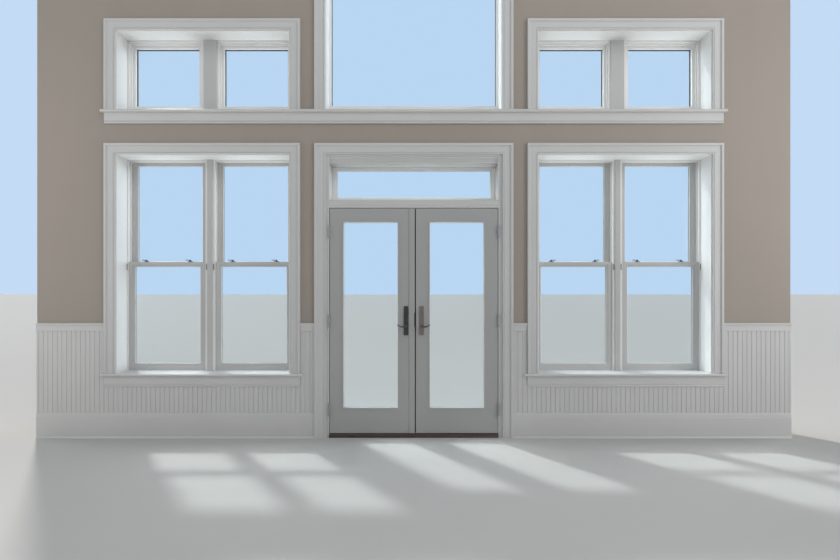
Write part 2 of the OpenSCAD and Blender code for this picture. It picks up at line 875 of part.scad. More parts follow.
module upper_window_glass() {
    both() translate([window_x, 0, 0]) both()
        pane(upper_post_w / 2, window_half, upper_sill_z, upper_head_z, pane_y(side_steps),
             last(side_steps), last(side_steps) + light_foot, last(side_steps));
    pane(-centre_half, centre_half, upper_sill_z, centre_head_z, pane_y(centre_steps),
         last(centre_steps), last(centre_steps) + centre_foot, last(centre_steps));
}

module upper_stool() {
    reach = cased_end_x + stool_horn;
    color(trim_colour) union() {
        along_x(-reach, reach) polygon(nosing(upper_sill_z, upper_stool_t));
        both() translate([window_x, 0, 0])
            block(-window_half, window_half, -eps, stop_y, upper_foot_z, upper_sill_z);
        block(-centre_half, centre_half, -eps, stop_y, upper_foot_z, upper_sill_z);
    }
}

module upper_apron() {
    color(trim_colour) along_x(-cased_end_x, cased_end_x)
        polygon(apron_section(upper_foot_z, upper_apron_h));
}

// Wainscot

bead_foot_z = base_h + base_cap_h;
bead_top_z = wainscot_z - wainscot_rail_h;
bead_count = floor((half_w - door_casing_half - bead_groove_w) / bead_pitch);
groove_floor = 0.4;

// Grooved outline of the boards, from the door casing to the end of the wall
groove_shape = [[-1, 0], [-groove_floor, 1], [groove_floor, 1], [1, 0]];
bead_outline = concat(
    [[door_casing_half, 0], [door_casing_half, -bead_board_t]],
    [for (i = [1:bead_count]) for (p = groove_shape)
        [door_casing_half + i * bead_pitch + p[0] * bead_groove_w / 2,
         -bead_board_t + p[1] * bead_groove_d]],
    [[half_w, -bead_board_t], [half_w, 0]]
);

module beadboard() {
    y0 = -bead_board_t - eps;
    apron_z = window_sill_z - stool_t - apron_h;
    horn = window_cased_half + stool_horn;
    color(trim_colour) difference() {
        translate([0, 0, bead_foot_z]) linear_extrude(bead_top_z - bead_foot_z) polygon(bead_outline);
        block(window_x - window_cased_half, cased_end_x, y0, eps, apron_z, wainscot_z);
        block(window_x - horn, window_x + horn, y0, eps, window_sill_z - stool_t, window_sill_z);
    }
}

module beadboard_left() {
    mirror([1, 0, 0]) beadboard();
}

module beadboard_right() {
    beadboard();
}

module wainscot_caps() {
    cap_z = wainscot_z - wainscot_cap_t;
    r = wainscot_round;
    section = concat(
        [[0, bead_top_z], [-wainscot_rail_t, bead_top_z], [-wainscot_rail_t, cap_z - wainscot_cove]],
        [[-wainscot_cap_out + wainscot_cove, cap_z], [-wainscot_cap_out, cap_z]],
        arc(-wainscot_cap_out + r, wainscot_z - r, r, 180, 90, 4),
        [[0, wainscot_z]]
    );
    color(trim_colour) both() {
        along_x(door_casing_half, window_x - window_cased_half) polygon(section);
        along_x(cased_end_x, half_w) polygon(section);
    }
}

module baseboards() {
    cap_z = base_h + base_cap_h;
    section = concat(
        [[0, 0]],
        arc(-base_t, 0, shoe_r, 180, 90, 5),
        [[-base_t, base_h], [-base_t + base_step, base_h + base_step]],
        [[-base_t + base_step, base_h + base_cap_h / 2], [-bead_board_t, cap_z], [0, cap_z]]
    );
    color(trim_colour) both() along_x(door_casing_half, half_w) polygon(section);
}

// Outside

// Flat casing with a drip cap: legs, head and cap round a hole
module outer_casing(h) {
    y1 = siding_y + out_casing_t;
    x = h[1] + out_casing_w;
    cap_z = h[3] + out_casing_w;
    color(trim_colour) translate([h[0], 0, 0]) union() {
        both() block(h[1], x, siding_y, y1, h[2], cap_z);
        block(-h[1] - eps, h[1] + eps, siding_y, y1, h[3], cap_z);
        along_x(-x - drip_horn, x + drip_horn)
            polygon([[siding_y, cap_z - eps], [siding_y + drip_d, cap_z - eps],
                     [siding_y + drip_d, cap_z + drip_edge], [siding_y, cap_z + drip_h]]);
    }
}

module outer_window_casings() {
    both() {
        outer_casing(lower_hole);
        outer_casing(upper_hole);
    }
    outer_casing(centre_hole);
}

module outer_door_casing() {
    outer_casing(door_hole);
}

module outer_sill(h) {
    x = h[1] + out_casing_w + drip_horn;
    front = siding_y + out_sill_d;
    color(trim_colour) translate([h[0], 0, 0]) along_x(-x, x)
        polygon([[siding_y, h[2] - out_sill_h], [front, h[2] - out_sill_h],
                 [front, h[2] - out_sill_fall], [siding_y + out_casing_t, h[2]], [siding_y, h[2]]]);
}

module outer_sills() {
    both() {
        outer_sill(lower_hole);
        outer_sill(upper_hole);
    }
    outer_sill(centre_hole);
}

module corner_boards() {
    inner = half_w - corner_w;
    color(trim_colour) both() upright(siding_y, out_casing_t)
        polygon([[inner, skin_lift], [half_w, skin_lift], [half_w, eave_z - rake_h],
                 [inner, gable_z(inner) - rake_h]]);
}

module rake_boards() {
    color(trim_colour) upright(siding_y, out_casing_t)
        polygon([[-half_w, eave_z - rake_h], [0, gable_z(0) - rake_h], [half_w, eave_z - rake_h],
                 [half_w, eave_z], [0, gable_z(0)], [-half_w, eave_z]]);
}

// Door leaves

glass_x0 = leaf_in_x + leaf_stile;
glass_x1 = leaf_out_x - leaf_stile;
glass_z0 = leaf_z + leaf_bottom_rail;
glass_z1 = leaf_top_z - leaf_top_rail;

module leaf() {
    bead_y0 = leaf_y - leaf_bead_h;
    bead_y1 = leaf_back_y + leaf_bead_h;
    color(door_colour) difference() {
        union() {
            block(leaf_in_x, leaf_out_x, leaf_y, leaf_back_y, leaf_z, leaf_top_z);
            block(glass_x0 - leaf_bead_w, glass_x1 + leaf_bead_w, bead_y0, bead_y1,
                  glass_z0 - leaf_bead_w, glass_z1 + leaf_bead_w);
        }
        block(glass_x0, glass_x1, bead_y0 - eps, bead_y1 + eps, glass_z0, glass_z1);
        pocket(leaf_in_x, leaf_out_x, leaf_z, leaf_top_z, leaf_y + leaf_t / 2, leaf_stile,
               leaf_bottom_rail, leaf_top_rail);
        for (z = hinge_zs)
            block(leaf_out_x - plate_t, leaf_out_x + eps, leaf_y - eps, plate_d,
                  z - hinge_h / 2, z + hinge_h / 2);
        rod(handle_x, lever_z, shaft_r + shaft_clear, leaf_y - eps, leaf_back_y + eps);
    }
}

module leaf_glass() {
    pane(leaf_in_x, leaf_out_x, leaf_z, leaf_top_z, leaf_y + leaf_t / 2, leaf_stile,
         leaf_bottom_rail, leaf_top_rail);
}

module left_leaf() {
    mirror([1, 0, 0]) leaf();
}

module right_leaf() {
    leaf();
}

module left_leaf_glass() {
    mirror([1, 0, 0]) leaf_glass();
}

module right_leaf_glass() {
    leaf_glass();
}

// The strip on the left leaf that closes the gap between the two
module astragal() {
    lip_x = -leaf_in_x - astragal_lip;
    face = leaf_y - astragal_t;
    c = astragal_chamfer;
    color(door_colour) translate([0, 0, leaf_z]) linear_extrude(leaf_top_z - leaf_z)
        polygon([[lip_x, leaf_y], [lip_x, face + c], [lip_x + c, face], [astragal_x - c, face],
                 [astragal_x, face + c], [astragal_x, leaf_back_y], [-leaf_in_x, leaf_back_y],
                 [-leaf_in_x, leaf_y]]);
}

// Hinges

// Every other knuckle from the first, each with a strap that joins it to a plate at px
module knuckle_set(z, first, px, bore) {
    for (k = [first:2:knuckles - 1]) {
        z0 = z - hinge_h / 2 + k * knuckle_h + (k > 0 ? knuckle_gap / 2 : 0);
        z1 = z - hinge_h / 2 + (k + 1) * knuckle_h - (k < knuckles - 1 ? knuckle_gap / 2 : 0);
        difference() {
            union() {
                translate([pin_x, -pin_out, z0]) cylinder(r = knuckle_r, h = z1 - z0);
                block(px, px + plate_t, -pin_out, plate_y + eps, z0, z1);
            }
            if (bore)
                translate([pin_x, -pin_out, z0 - eps])
                    cylinder(r = hinge_pin_r + pin_clear, h = z1 - z0 + 2 * eps);
        }
    }
}

module jamb_hinge(z) {
    union() {
        block(door_half, door_half + plate_t, plate_y, plate_d, z - hinge_h / 2, z + hinge_h / 2);
        knuckle_set(z, 0, door_half, false);
        translate([pin_x, -pin_out, z - hinge_h / 2]) cylinder(r = hinge_pin_r, h = hinge_h);
    }
}

module leaf_hinge(z) {
    px = leaf_out_x - plate_t;
    union() {
        block(px, leaf_out_x, plate_y, plate_d, z - hinge_h / 2, z + hinge_h / 2);
        knuckle_set(z, 1, px, true);
    }
}

module jamb_hinges() {
    color("silver") both() for (z = hinge_zs) jamb_hinge(z);
}

module right_leaf_hinges() {
    color("silver") for (z = hinge_zs) leaf_hinge(z);
}

module left_leaf_hinges() {
    mirror([1, 0, 0]) right_leaf_hinges();
}

// Handles

// A plate with round corners: its outline lies in X and Z
module round_plate(x, z, w, h, r, y0, t) {
    upright(y0, t) union() {
        translate([x - w / 2, z + r]) square([w, h - 2 * r]);
        translate([x - w / 2 + r, z]) square([w - 2 * r, h]);
        for (dx = [r, w - r]) for (dz = [r, h - r])
            translate([x - w / 2 + dx, z + dz]) circle(r = r);
    }
}

// One long plate on each side of the leaf, with a lock cylinder through both
module handle_plates() {
    foot_z = lever_z - handle_drop;
    front = leaf_y - handle_plate_t;
    back = leaf_back_y + handle_plate_t;
    cylinder_z = lever_z + cylinder_up;
    color(bronze_colour) for (y0 = [front, leaf_back_y]) difference() {
        union() {
            round_plate(handle_x, foot_z, handle_plate_w, handle_plate_h, handle_corner, y0,
                        handle_plate_t);
            rod(handle_x, cylinder_z, cylinder_r, y0 == front ? front - cylinder_out : y0,
                y0 == front ? leaf_y : back + cylinder_out);
        }
        rod(handle_x, lever_z, shaft_r + pin_clear, y0 - eps, y0 + handle_plate_t + eps);
    }
}

// Outline of a lever: a shallow wave that narrows to its tip
lever_steps = 14;
function wave(t) = -lever_dip * sin(180 * t) + lever_rise * t * t * t;
function lever_half(t) = (lever_root_h + (lever_tip_h - lever_root_h) * t) / 2;
lever_outline = concat(
    [for (i = [0:lever_steps]) let (t = i / lever_steps) [t * lever_l, wave(t) + lever_half(t)]],
    [for (i = [lever_steps:-1:0]) let (t = i / lever_steps) [t * lever_l, wave(t) - lever_half(t)]]
);

module lever() {
    y0 = leaf_y - handle_plate_t - lever_reach;
    y1 = leaf_back_y + handle_plate_t + lever_reach;
    color(bronze_colour) union() {
        rod(handle_x, lever_z, shaft_r, y0, y1);
        for (y = [y0, y1 - lever_t]) {
            rod(handle_x, lever_z, lever_hub_r, y, y + lever_t);
            translate([handle_x, 0, lever_z]) upright(y, lever_t) polygon(lever_outline);
        }
    }
}

module left_handle_plates() {
    mirror([1, 0, 0]) handle_plates();
}

module right_handle_plates() {
    handle_plates();
}

module left_lever() {
    mirror([1, 0, 0]) lever();
}

module right_lever() {
    lever();
}

wall_left();
wall_right();
wall_over_door();
interior_plaster();
exterior_siding();
door_casing();
door_frame();
door_threshold();
transom_sash();
transom_glass();
lower_window_casings();
lower_window_stools();
lower_window_aprons();
left_window_frame();
right_window_frame();
post_covers();
bottom_sashes();
top_sashes();
lower_window_glass();
sash_locks();
upper_side_casings();
upper_centre_casing();
upper_left_frame();
upper_right_frame();
upper_centre_frame();
upper_window_glass();
upper_stool();
upper_apron();
beadboard_left();
beadboard_right();
wainscot_caps();
baseboards();
outer_window_casings();
outer_door_casing();
outer_sills();
corner_boards();
rake_boards();
jamb_hinges();
left_leaf();
right_leaf();
left_leaf_glass();
right_leaf_glass();
astragal();
left_handle_plates();
right_handle_plates();
left_lever();
right_lever();
left_leaf_hinges();
right_leaf_hinges();
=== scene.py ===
"""Looks of a beach house window wall: its finishes, lap boards and small fittings."""
import math
import random

import bmesh
import bpy
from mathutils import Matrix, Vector


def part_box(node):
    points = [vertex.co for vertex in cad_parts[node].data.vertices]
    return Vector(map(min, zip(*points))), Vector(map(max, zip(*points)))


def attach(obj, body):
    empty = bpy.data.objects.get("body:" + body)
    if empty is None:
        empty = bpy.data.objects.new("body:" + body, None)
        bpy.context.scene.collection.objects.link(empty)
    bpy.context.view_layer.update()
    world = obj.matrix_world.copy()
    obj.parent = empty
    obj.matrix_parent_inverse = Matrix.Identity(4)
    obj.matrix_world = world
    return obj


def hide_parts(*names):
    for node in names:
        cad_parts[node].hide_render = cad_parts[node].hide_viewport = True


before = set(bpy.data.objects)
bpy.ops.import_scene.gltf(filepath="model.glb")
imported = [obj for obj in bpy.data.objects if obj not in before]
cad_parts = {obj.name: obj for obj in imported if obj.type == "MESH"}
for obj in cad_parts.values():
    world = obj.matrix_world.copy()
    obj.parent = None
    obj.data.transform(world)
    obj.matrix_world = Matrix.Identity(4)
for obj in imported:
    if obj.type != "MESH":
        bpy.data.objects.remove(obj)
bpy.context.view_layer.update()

MM = 0.001
SIDES = ((-1, "left"), (1, "right"))


# Camera and studio

PHOTO_W = 840
PHOTO_H = 560
FOCAL_PX = 565
VANISH_X = 413.8
VANISH_Y = 292
SENSOR_MM = 36
CAMERA_BACK = 5.085
CAMERA_UP = 1.3095

WARM = (1, 0.99, 0.97)
COOL = (0.99, 0.995, 1)
SUNLIT = (1, 0.98, 0.94)


def make_camera():
    """A camera at the photograph's place, level and square to the wall."""
    data = bpy.data.cameras.new("camera")
    data.sensor_width = SENSOR_MM
    data.lens = FOCAL_PX / PHOTO_W * SENSOR_MM
    data.shift_x = (PHOTO_W / 2 - VANISH_X) / PHOTO_W
    data.shift_y = (VANISH_Y - PHOTO_H / 2) / PHOTO_W
    camera = bpy.data.objects.new("camera", data)
    camera.location = (0, -CAMERA_BACK, CAMERA_UP)
    camera.rotation_euler = (math.pi / 2, 0, 0)
    bpy.context.scene.collection.objects.link(camera)
    bpy.context.scene.camera = camera


def add_lamp(name, data, heading):
    """A lamp whose light travels along heading. It isn't seen through the panes."""
    lamp = bpy.data.objects.new(name, data)
    lamp.visible_transmission = False
    lamp.rotation_mode = "QUATERNION"
    lamp.rotation_quaternion = Vector(heading).to_track_quat("-Z", "Y")
    bpy.context.scene.collection.objects.link(lamp)
    return lamp


def make_sun(name, heading, strength, softness, colour):
    """A sun whose disc is softness degrees wide."""
    data = bpy.data.lights.new(name, "SUN")
    data.energy = strength
    data.angle = math.radians(softness)
    data.color = colour
    return add_lamp(name, data, heading)


def make_room_panel(name, place, aim, wide, tall, radiance):
    """A broad soft panel in the room. It is unseen itself and lights the nearest wall most."""
    data = bpy.data.lights.new(name, "AREA")
    data.shape = "RECTANGLE"
    data.size = wide
    data.size_y = tall
    data.energy = radiance * math.pi * wide * tall
    panel = add_lamp(name, data, Vector(aim) - Vector(place))
    panel.location = place
    panel.visible_camera = False
    panel.visible_glossy = False
    return panel


def all_but(piece, name):
    """A collection for light linking that leaves the piece out."""
    group = bpy.data.collections.new(name)
    group.objects.link(piece)
    group.collection_objects[0].light_linking.link_state = "EXCLUDE"
    return group


def let_through(lamp, piece):
    """The lamp's light passes the piece, as light that the ground throws up would."""
    lamp.light_linking.blocker_collection = all_but(piece, f"{lamp.name}_blockers")


def pass_over(lamp, piece):
    """The lamp puts no light on the piece."""
    lamp.light_linking.receiver_collection = all_but(piece, f"{lamp.name}_receivers")


def make_world(ambient, seen):
    """Even white light of strength ambient, and a plain backdrop where the view passes the part."""
    world = bpy.data.worlds.new("studio")
    bpy.context.scene.world = world
    world.use_nodes = True
    tree = world.node_tree
    tree.nodes.clear()

    def background(colour, strength):
        node = tree.nodes.new("ShaderNodeBackground")
        node.inputs["Color"].default_value = colour
        node.inputs["Strength"].default_value = strength
        return node.outputs[0]

    def either(first, second):
        node = tree.nodes.new("ShaderNodeMath")
        node.operation = "MAXIMUM"
        tree.links.new(first, node.inputs[0])
        tree.links.new(second, node.inputs[1])
        return node.outputs[0]

    path = tree.nodes.new("ShaderNodeLightPath")
    camera_or_glossy = either(path.outputs["Is Camera Ray"], path.outputs["Is Glossy Ray"])
    mix = tree.nodes.new("ShaderNodeMixShader")
    tree.links.new(either(camera_or_glossy, path.outputs["Is Transmission Ray"]), mix.inputs[0])
    tree.links.new(background((1, 1, 1, 1), ambient), mix.inputs[1])
    tree.links.new(background(seen, 1), mix.inputs[2])
    output = tree.nodes.new("ShaderNodeOutputWorld")
    tree.links.new(mix.outputs[0], output.inputs["Surface"])


# Finishes

def srgb(red, green, blue):
    """A colour as a screen shows it, from 0 to 255, in the values that shaders take."""
    def linear(value):
        value /= 255
        return value / 12.92 if value <= 0.04045 else ((value + 0.055) / 1.055) ** 2.4
    return (linear(red), linear(green), linear(blue), 1)


def shade(colour, factor):
    return tuple(min(1, value * factor) for value in colour[:3]) + (1,)


class Finish:
    """A material under construction. Its patterns lie in the object's own space, in metres."""

    def __init__(self, name, roughness, metallic=0.0):
        self.material = bpy.data.materials.new(name)
        self.material.use_nodes = True
        self.tree = self.material.node_tree
        self.shader = self.tree.nodes["Principled BSDF"]
        self.shader.inputs["Roughness"].default_value = roughness
        self.shader.inputs["Metallic"].default_value = metallic
        self.place = self.tree.nodes.new("ShaderNodeTexCoord").outputs["Object"]

    def join(self, source, target):
        self.tree.links.new(source, target)

    def math(self, operation, first, second):
        """A math node on two values, each an output or a number."""
        node = self.tree.nodes.new("ShaderNodeMath")
        node.operation = operation
        for value, socket in zip((first, second), node.inputs):
            if isinstance(value, (int, float)):
                socket.default_value = value
            else:
                self.join(value, socket)
        return node.outputs[0]

    def blend(self, first, second, share):
        """The given share of the first value, and the rest of the second."""
        return self.math("ADD", self.math("MULTIPLY", first, share),
                         self.math("MULTIPLY", second, 1 - share))

    def axis(self, name):
        """The X, Y or Z of the place."""
        node = self.tree.nodes.new("ShaderNodeSeparateXYZ")
        self.join(self.place, node.inputs[0])
        return node.outputs[name]

    def stretched(self, x, y, z):
        """The place scaled by axis. A small factor draws a pattern out along its axis."""
        node = self.tree.nodes.new("ShaderNodeVectorMath")
        node.operation = "MULTIPLY"
        self.join(self.place, node.inputs[0])
        node.inputs[1].default_value = (x, y, z)
        return node.outputs[0]

    def noise(self, place, scale, detail=3.0, roughness=0.5):
        node = self.tree.nodes.new("ShaderNodeTexNoise")
        self.join(place, node.inputs["Vector"])
        node.inputs["Scale"].default_value = scale
        node.inputs["Detail"].default_value = detail
        node.inputs["Roughness"].default_value = roughness
        return node.outputs["Fac"]

    def rings(self, place, direction, scale, distortion, detail_scale=1.0):
        """Wavy bands, such as the year rings of wood."""
        node = self.tree.nodes.new("ShaderNodeTexWave")
        node.wave_type = "BANDS"
        node.bands_direction = direction
        self.join(place, node.inputs["Vector"])
        node.inputs["Scale"].default_value = scale
        node.inputs["Distortion"].default_value = distortion
        node.inputs["Detail"].default_value = 3
        node.inputs["Detail Scale"].default_value = detail_scale
        return node.outputs["Fac"]

    def spread(self, value, low, high, from_low=0.3, from_high=0.7):
        """The value between from_low and from_high, spread from low to high."""
        node = self.tree.nodes.new("ShaderNodeMapRange")
        self.join(value, node.inputs["Value"])
        node.inputs["From Min"].default_value = from_low
        node.inputs["From Max"].default_value = from_high
        node.inputs["To Min"].default_value = low
        node.inputs["To Max"].default_value = high
        return node.outputs["Result"]

    def between(self, factor, first, second):
        """A colour between two, each a colour or an output."""
        node = self.tree.nodes.new("ShaderNodeMix")
        node.data_type = "RGBA"
        self.join(factor, node.inputs["Factor"])
        for value, socket in zip((first, second), (node.inputs[6], node.inputs[7])):
            if isinstance(value, tuple):
                socket.default_value = value
            else:
                self.join(value, socket)
        return node.outputs[2]

    def tones(self, value, colour, darkest, palest):
        """The colour between two shades of itself, as the value has it."""
        return self.between(self.spread(value, 0, 1), shade(colour, darkest), shade(colour, palest))

    def bump(self, height, depth, under=None):
        """Relief of the given depth in metres, laid over the relief under it."""
        node = self.tree.nodes.new("ShaderNodeBump")
        node.inputs["Strength"].default_value = 1
        node.inputs["Distance"].default_value = depth
        self.join(height, node.inputs["Height"])
        if under is not None:
            self.join(under, node.inputs["Normal"])
        return node.outputs["Normal"]

    def wear(self, colour=None, roughness=None, normal=None):
        """Joins the outputs given to the shader and gives back the material."""
        if colour is not None:
            self.join(colour, self.shader.inputs["Base Color"])
        if roughness is not None:
            self.join(roughness, self.shader.inputs["Roughness"])
        if normal is not None:
            self.join(normal, self.shader.inputs["Normal"])
        return self.material


# Pattern scales, in cycles a metre
CLOUD = 1.7
FINE = 60
STIPPLE = 260
UPRIGHT_BRUSH = (420, 420, 5)
LEVEL_BRUSH = (5, 420, 420)
UPRIGHT_GRAIN = (260, 260, 3)
LEVEL_GRAIN = (3, 260, 260)
ROLLER_BANDS = (4.5, 4.5, 0.5)
RAIN_RUNS = (22, 22, 1.1)
METAL_LINES = (120, 120, 900)

BRUSH_RELIEF = 0.03 * MM
PEEL_RELIEF = 0.22 * MM
GRAIN_RELIEF = 0.25 * MM

# Dirt that splashes up, and how far above the foot it reaches
SPLASH_DIRT = srgb(158, 150, 136)
FOOT_SPLASH = 0.7
# Thickness of the outer board that shows in the wall's cut ends
SHEET_T = 12 * MM


def brushed_paint(name, colour, roughness, brush, tone=0.03):
    """Paint on wood: brush marks along the board, and a slow drift of tone and gloss."""
    paint = Finish(name, roughness)
    cloud = paint.noise(paint.place, CLOUD)
    marks = paint.noise(paint.stretched(*brush), 1, detail=4, roughness=0.6)
    specks = paint.noise(paint.place, FINE)
    colours = paint.tones(paint.blend(cloud, marks, 0.65), colour, 1 - tone, 1 + tone)
    gloss = paint.spread(paint.blend(marks, specks, 0.5), roughness - 0.08, roughness + 0.08)
    return paint.wear(colours, gloss,
                      paint.bump(marks, BRUSH_RELIEF, paint.bump(specks, BRUSH_RELIEF)))


def rolled_paint(name, colour, roughness, tone=0.025):
    """Flat paint rolled on plaster: an orange-peel stipple and faint roller bands."""
    paint = Finish(name, roughness)
    cloud = paint.noise(paint.place, 0.9, detail=4)
    bands = paint.noise(paint.stretched(*ROLLER_BANDS), 1, detail=2)
    peel = paint.noise(paint.place, STIPPLE, detail=2, roughness=0.6)
    colours = paint.tones(paint.blend(cloud, bands, 0.55), colour, 1 - tone, 1 + tone)
    return paint.wear(colours, paint.spread(peel, roughness - 0.06, roughness + 0.06),
                      paint.bump(peel, PEEL_RELIEF))


def weathered_paint(name, colour, roughness, grain_scale, foot, course=None):
    """Outdoor paint: grain under it, run marks from rain, and splash dirt above the foot.
    Where course gives the foot and height of the boards, each course has a tone of its own."""
    paint = Finish(name, roughness)
    grain = paint.noise(paint.stretched(*grain_scale), 1, detail=5, roughness=0.6)
    cloud = paint.noise(paint.place, CLOUD, detail=4)
    runs = paint.noise(paint.stretched(*RAIN_RUNS), 1, detail=3)
    up = paint.axis("Z")
    colours = paint.tones(paint.blend(cloud, grain, 0.5), colour, 0.955, 1.035)
    if course:
        first, height = course
        courses_up = paint.math("DIVIDE", paint.math("SUBTRACT", up, first), height)
        each = paint.tree.nodes.new("ShaderNodeTexWhiteNoise")
        each.noise_dimensions = "1D"
        paint.join(paint.math("FLOOR", courses_up, 0), each.inputs["W"])
        board = paint.spread(each.outputs["Value"], 0, 0.5, 0, 1)
        colours = paint.between(board, colours, shade(colour, 0.93))
    colours = paint.between(paint.spread(runs, 0, 0.35, 0.5, 0.75), colours, shade(colour, 0.82))
    low = paint.spread(up, 0.55, 0, foot, foot + FOOT_SPLASH)
    splash = paint.math("MULTIPLY", low, paint.spread(cloud, 0.35, 1))
    colours = paint.between(splash, colours, SPLASH_DIRT)
    return paint.wear(colours, paint.spread(grain, roughness - 0.07, roughness + 0.1),
                      paint.bump(grain, GRAIN_RELIEF))


def wood(name, pale, dark, worn, roughness, along, across):
    """Oiled wood with its rings drawn out along one axis, and rubbed to another tone in places."""
    plank = Finish(name, roughness)
    place = plank.stretched(*along)
    rings = plank.rings(place, "DIAGONAL", across, 7, detail_scale=1.3)
    pores = plank.noise(place, across * 16, detail=3)
    figure = plank.blend(rings, pores, 0.6)
    colours = plank.between(plank.spread(figure, 0, 1, 0.15, 0.8), dark, pale)
    rubbed = plank.noise(plank.stretched(2.2, 30, 30), 1, detail=4)
    colours = plank.between(plank.spread(rubbed, 0, 0.8, 0.5, 0.72), colours, worn)
    return plank.wear(colours, plank.spread(pores, roughness - 0.1, roughness + 0.12),
                      plank.bump(figure, GRAIN_RELIEF))


def metal(name, colour, rubbed, roughness, metallic):
    """Metal with fine brush lines, and paler patches where hands and weather have rubbed it."""
    finish = Finish(name, roughness, metallic)
    lines = finish.noise(finish.stretched(*METAL_LINES), 1, detail=3)
    cloud = finish.noise(finish.place, 14, detail=5, roughness=0.65)
    colours = finish.tones(lines, colour, 0.9, 1.1)
    colours = finish.between(finish.spread(cloud, 0, 0.7, 0.56, 0.72), colours, rubbed)
    gloss = finish.spread(finish.blend(lines, cloud, 0.4), roughness - 0.1, roughness + 0.14)
    return finish.wear(colours, gloss,
                       finish.bump(lines, 0.02 * MM, finish.bump(cloud, 0.05 * MM)))


def rubber(name, colour, dusty):
    """Dull seal: fine pitting and a dusty tone here and there."""
    finish = Finish(name, 0.75)
    pits = finish.noise(finish.place, 700, detail=2)
    dust = finish.noise(finish.place, 9, detail=4)
    return finish.wear(finish.between(finish.spread(dust, 0, 0.6, 0.45, 0.75), colour, dusty),
                       finish.spread(dust, 0.65, 0.85), finish.bump(pits, 0.05 * MM))


def clear_glass(name):
    """Clear glass with the slight waviness of a real pane. Lamps shine straight through it."""
    glass = Finish(name, 0.0)
    glass.shader.inputs["Base Color"].default_value = srgb(240, 249, 252)
    glass.shader.inputs["Transmission Weight"].default_value = 1
    glass.shader.inputs["IOR"].default_value = 1.45
    wave = glass.noise(glass.place, 1.6, detail=1)
    glass.wear(normal=glass.bump(wave, 0.05 * MM))
    clear = glass.tree.nodes.new("ShaderNodeBsdfTransparent")
    clear.inputs["Color"].default_value = srgb(244, 250, 252)
    path = glass.tree.nodes.new("ShaderNodeLightPath")
    mix = glass.tree.nodes.new("ShaderNodeMixShader")
    glass.join(path.outputs["Is Shadow Ray"], mix.inputs[0])
    glass.join(glass.shader.outputs[0], mix.inputs[1])
    glass.join(clear.outputs[0], mix.inputs[2])
    glass.join(mix.outputs[0], glass.tree.nodes["Material Output"].inputs["Surface"])
    return glass.material


def wall_core():
    """The cut ends and top of the framed wall: timber, with a strip of board at its outer face."""
    core = Finish("wall_core", 0.7)
    rings = core.rings(core.stretched(9, 9, 0.55), "Y", 3.2, 5)
    pores = core.noise(core.stretched(600, 600, 14), 1, detail=3)
    knots = core.tree.nodes.new("ShaderNodeTexVoronoi")
    knots.feature = "SMOOTH_F1"
    core.join(core.stretched(4, 9, 1.9), knots.inputs["Vector"])
    knots.inputs["Scale"].default_value = 1
    figure = core.blend(rings, pores, 0.7)
    timber = core.between(core.spread(figure, 0, 1, 0.1, 0.9), srgb(170, 150, 122), srgb(200, 184, 158))
    knot = core.spread(knots.outputs["Distance"], 1, 0, 0.03, 0.11)
    timber = core.between(knot, timber, srgb(116, 84, 56))
    flakes = core.noise(core.stretched(70, 300, 70), 1, detail=4, roughness=0.7)
    board = core.between(core.spread(flakes, 0, 1), srgb(150, 120, 84), srgb(196, 170, 130))
    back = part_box("wall_left")[1].y
    sheet = core.math("GREATER_THAN", core.axis("Y"), back - SHEET_T)
    colours = core.between(sheet, timber, board)
    return core.wear(colours, core.spread(pores, 0.6, 0.8), core.bump(figure, 0.3 * MM))


TRIM_WHITE = srgb(202, 202, 201)
# The frames' white is the trim's white paint made paler: painted light, the sunlit tone of the window
# reveals and the transom sash.
SUNLIT_FRAME_WHITE = srgb(230, 230, 229)
# The posts' white is the same trim paint made darker: painted shade.
SHADED_POST_WHITE = srgb(188, 188, 187)
# The sashes' white is the same trim paint made darker: painted shade, as they sit deep in the reveals.
SHADED_SASH_WHITE = srgb(190, 190, 189)
# The door leaves' white is the same trim paint made darker still: painted shade, as the doors stand
# against the light.
SHADED_DOOR_WHITE = srgb(168, 168, 167)
GREIGE = srgb(162, 153, 144)
SIDING = srgb(196, 203, 205)
OUTER_WHITE = srgb(210, 211, 208)

# Height of a lap board that shows
SIDING_EXPOSURE = 152 * MM

siding_low, siding_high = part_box("exterior_siding")

trim_upright = brushed_paint("trim_paint_upright", TRIM_WHITE, 0.34, UPRIGHT_BRUSH)
trim_level = brushed_paint("trim_paint_level", TRIM_WHITE, 0.34, LEVEL_BRUSH)
# Paler copy of the trim paint on the window frames and transom sash: painted sunlight.
sunlit_frame_paint = brushed_paint("sunlit_frame_paint", SUNLIT_FRAME_WHITE, 0.32, UPRIGHT_BRUSH, tone=0.02)
# Darker copy of the trim paint on the post covers: painted shade.
shaded_post_paint = brushed_paint("shaded_post_paint", SHADED_POST_WHITE, 0.34, UPRIGHT_BRUSH)
# Darker copy of the trim paint on the sashes: painted shade.
shaded_sash_paint = brushed_paint("shaded_sash_paint", SHADED_SASH_WHITE, 0.3, UPRIGHT_BRUSH, tone=0.025)
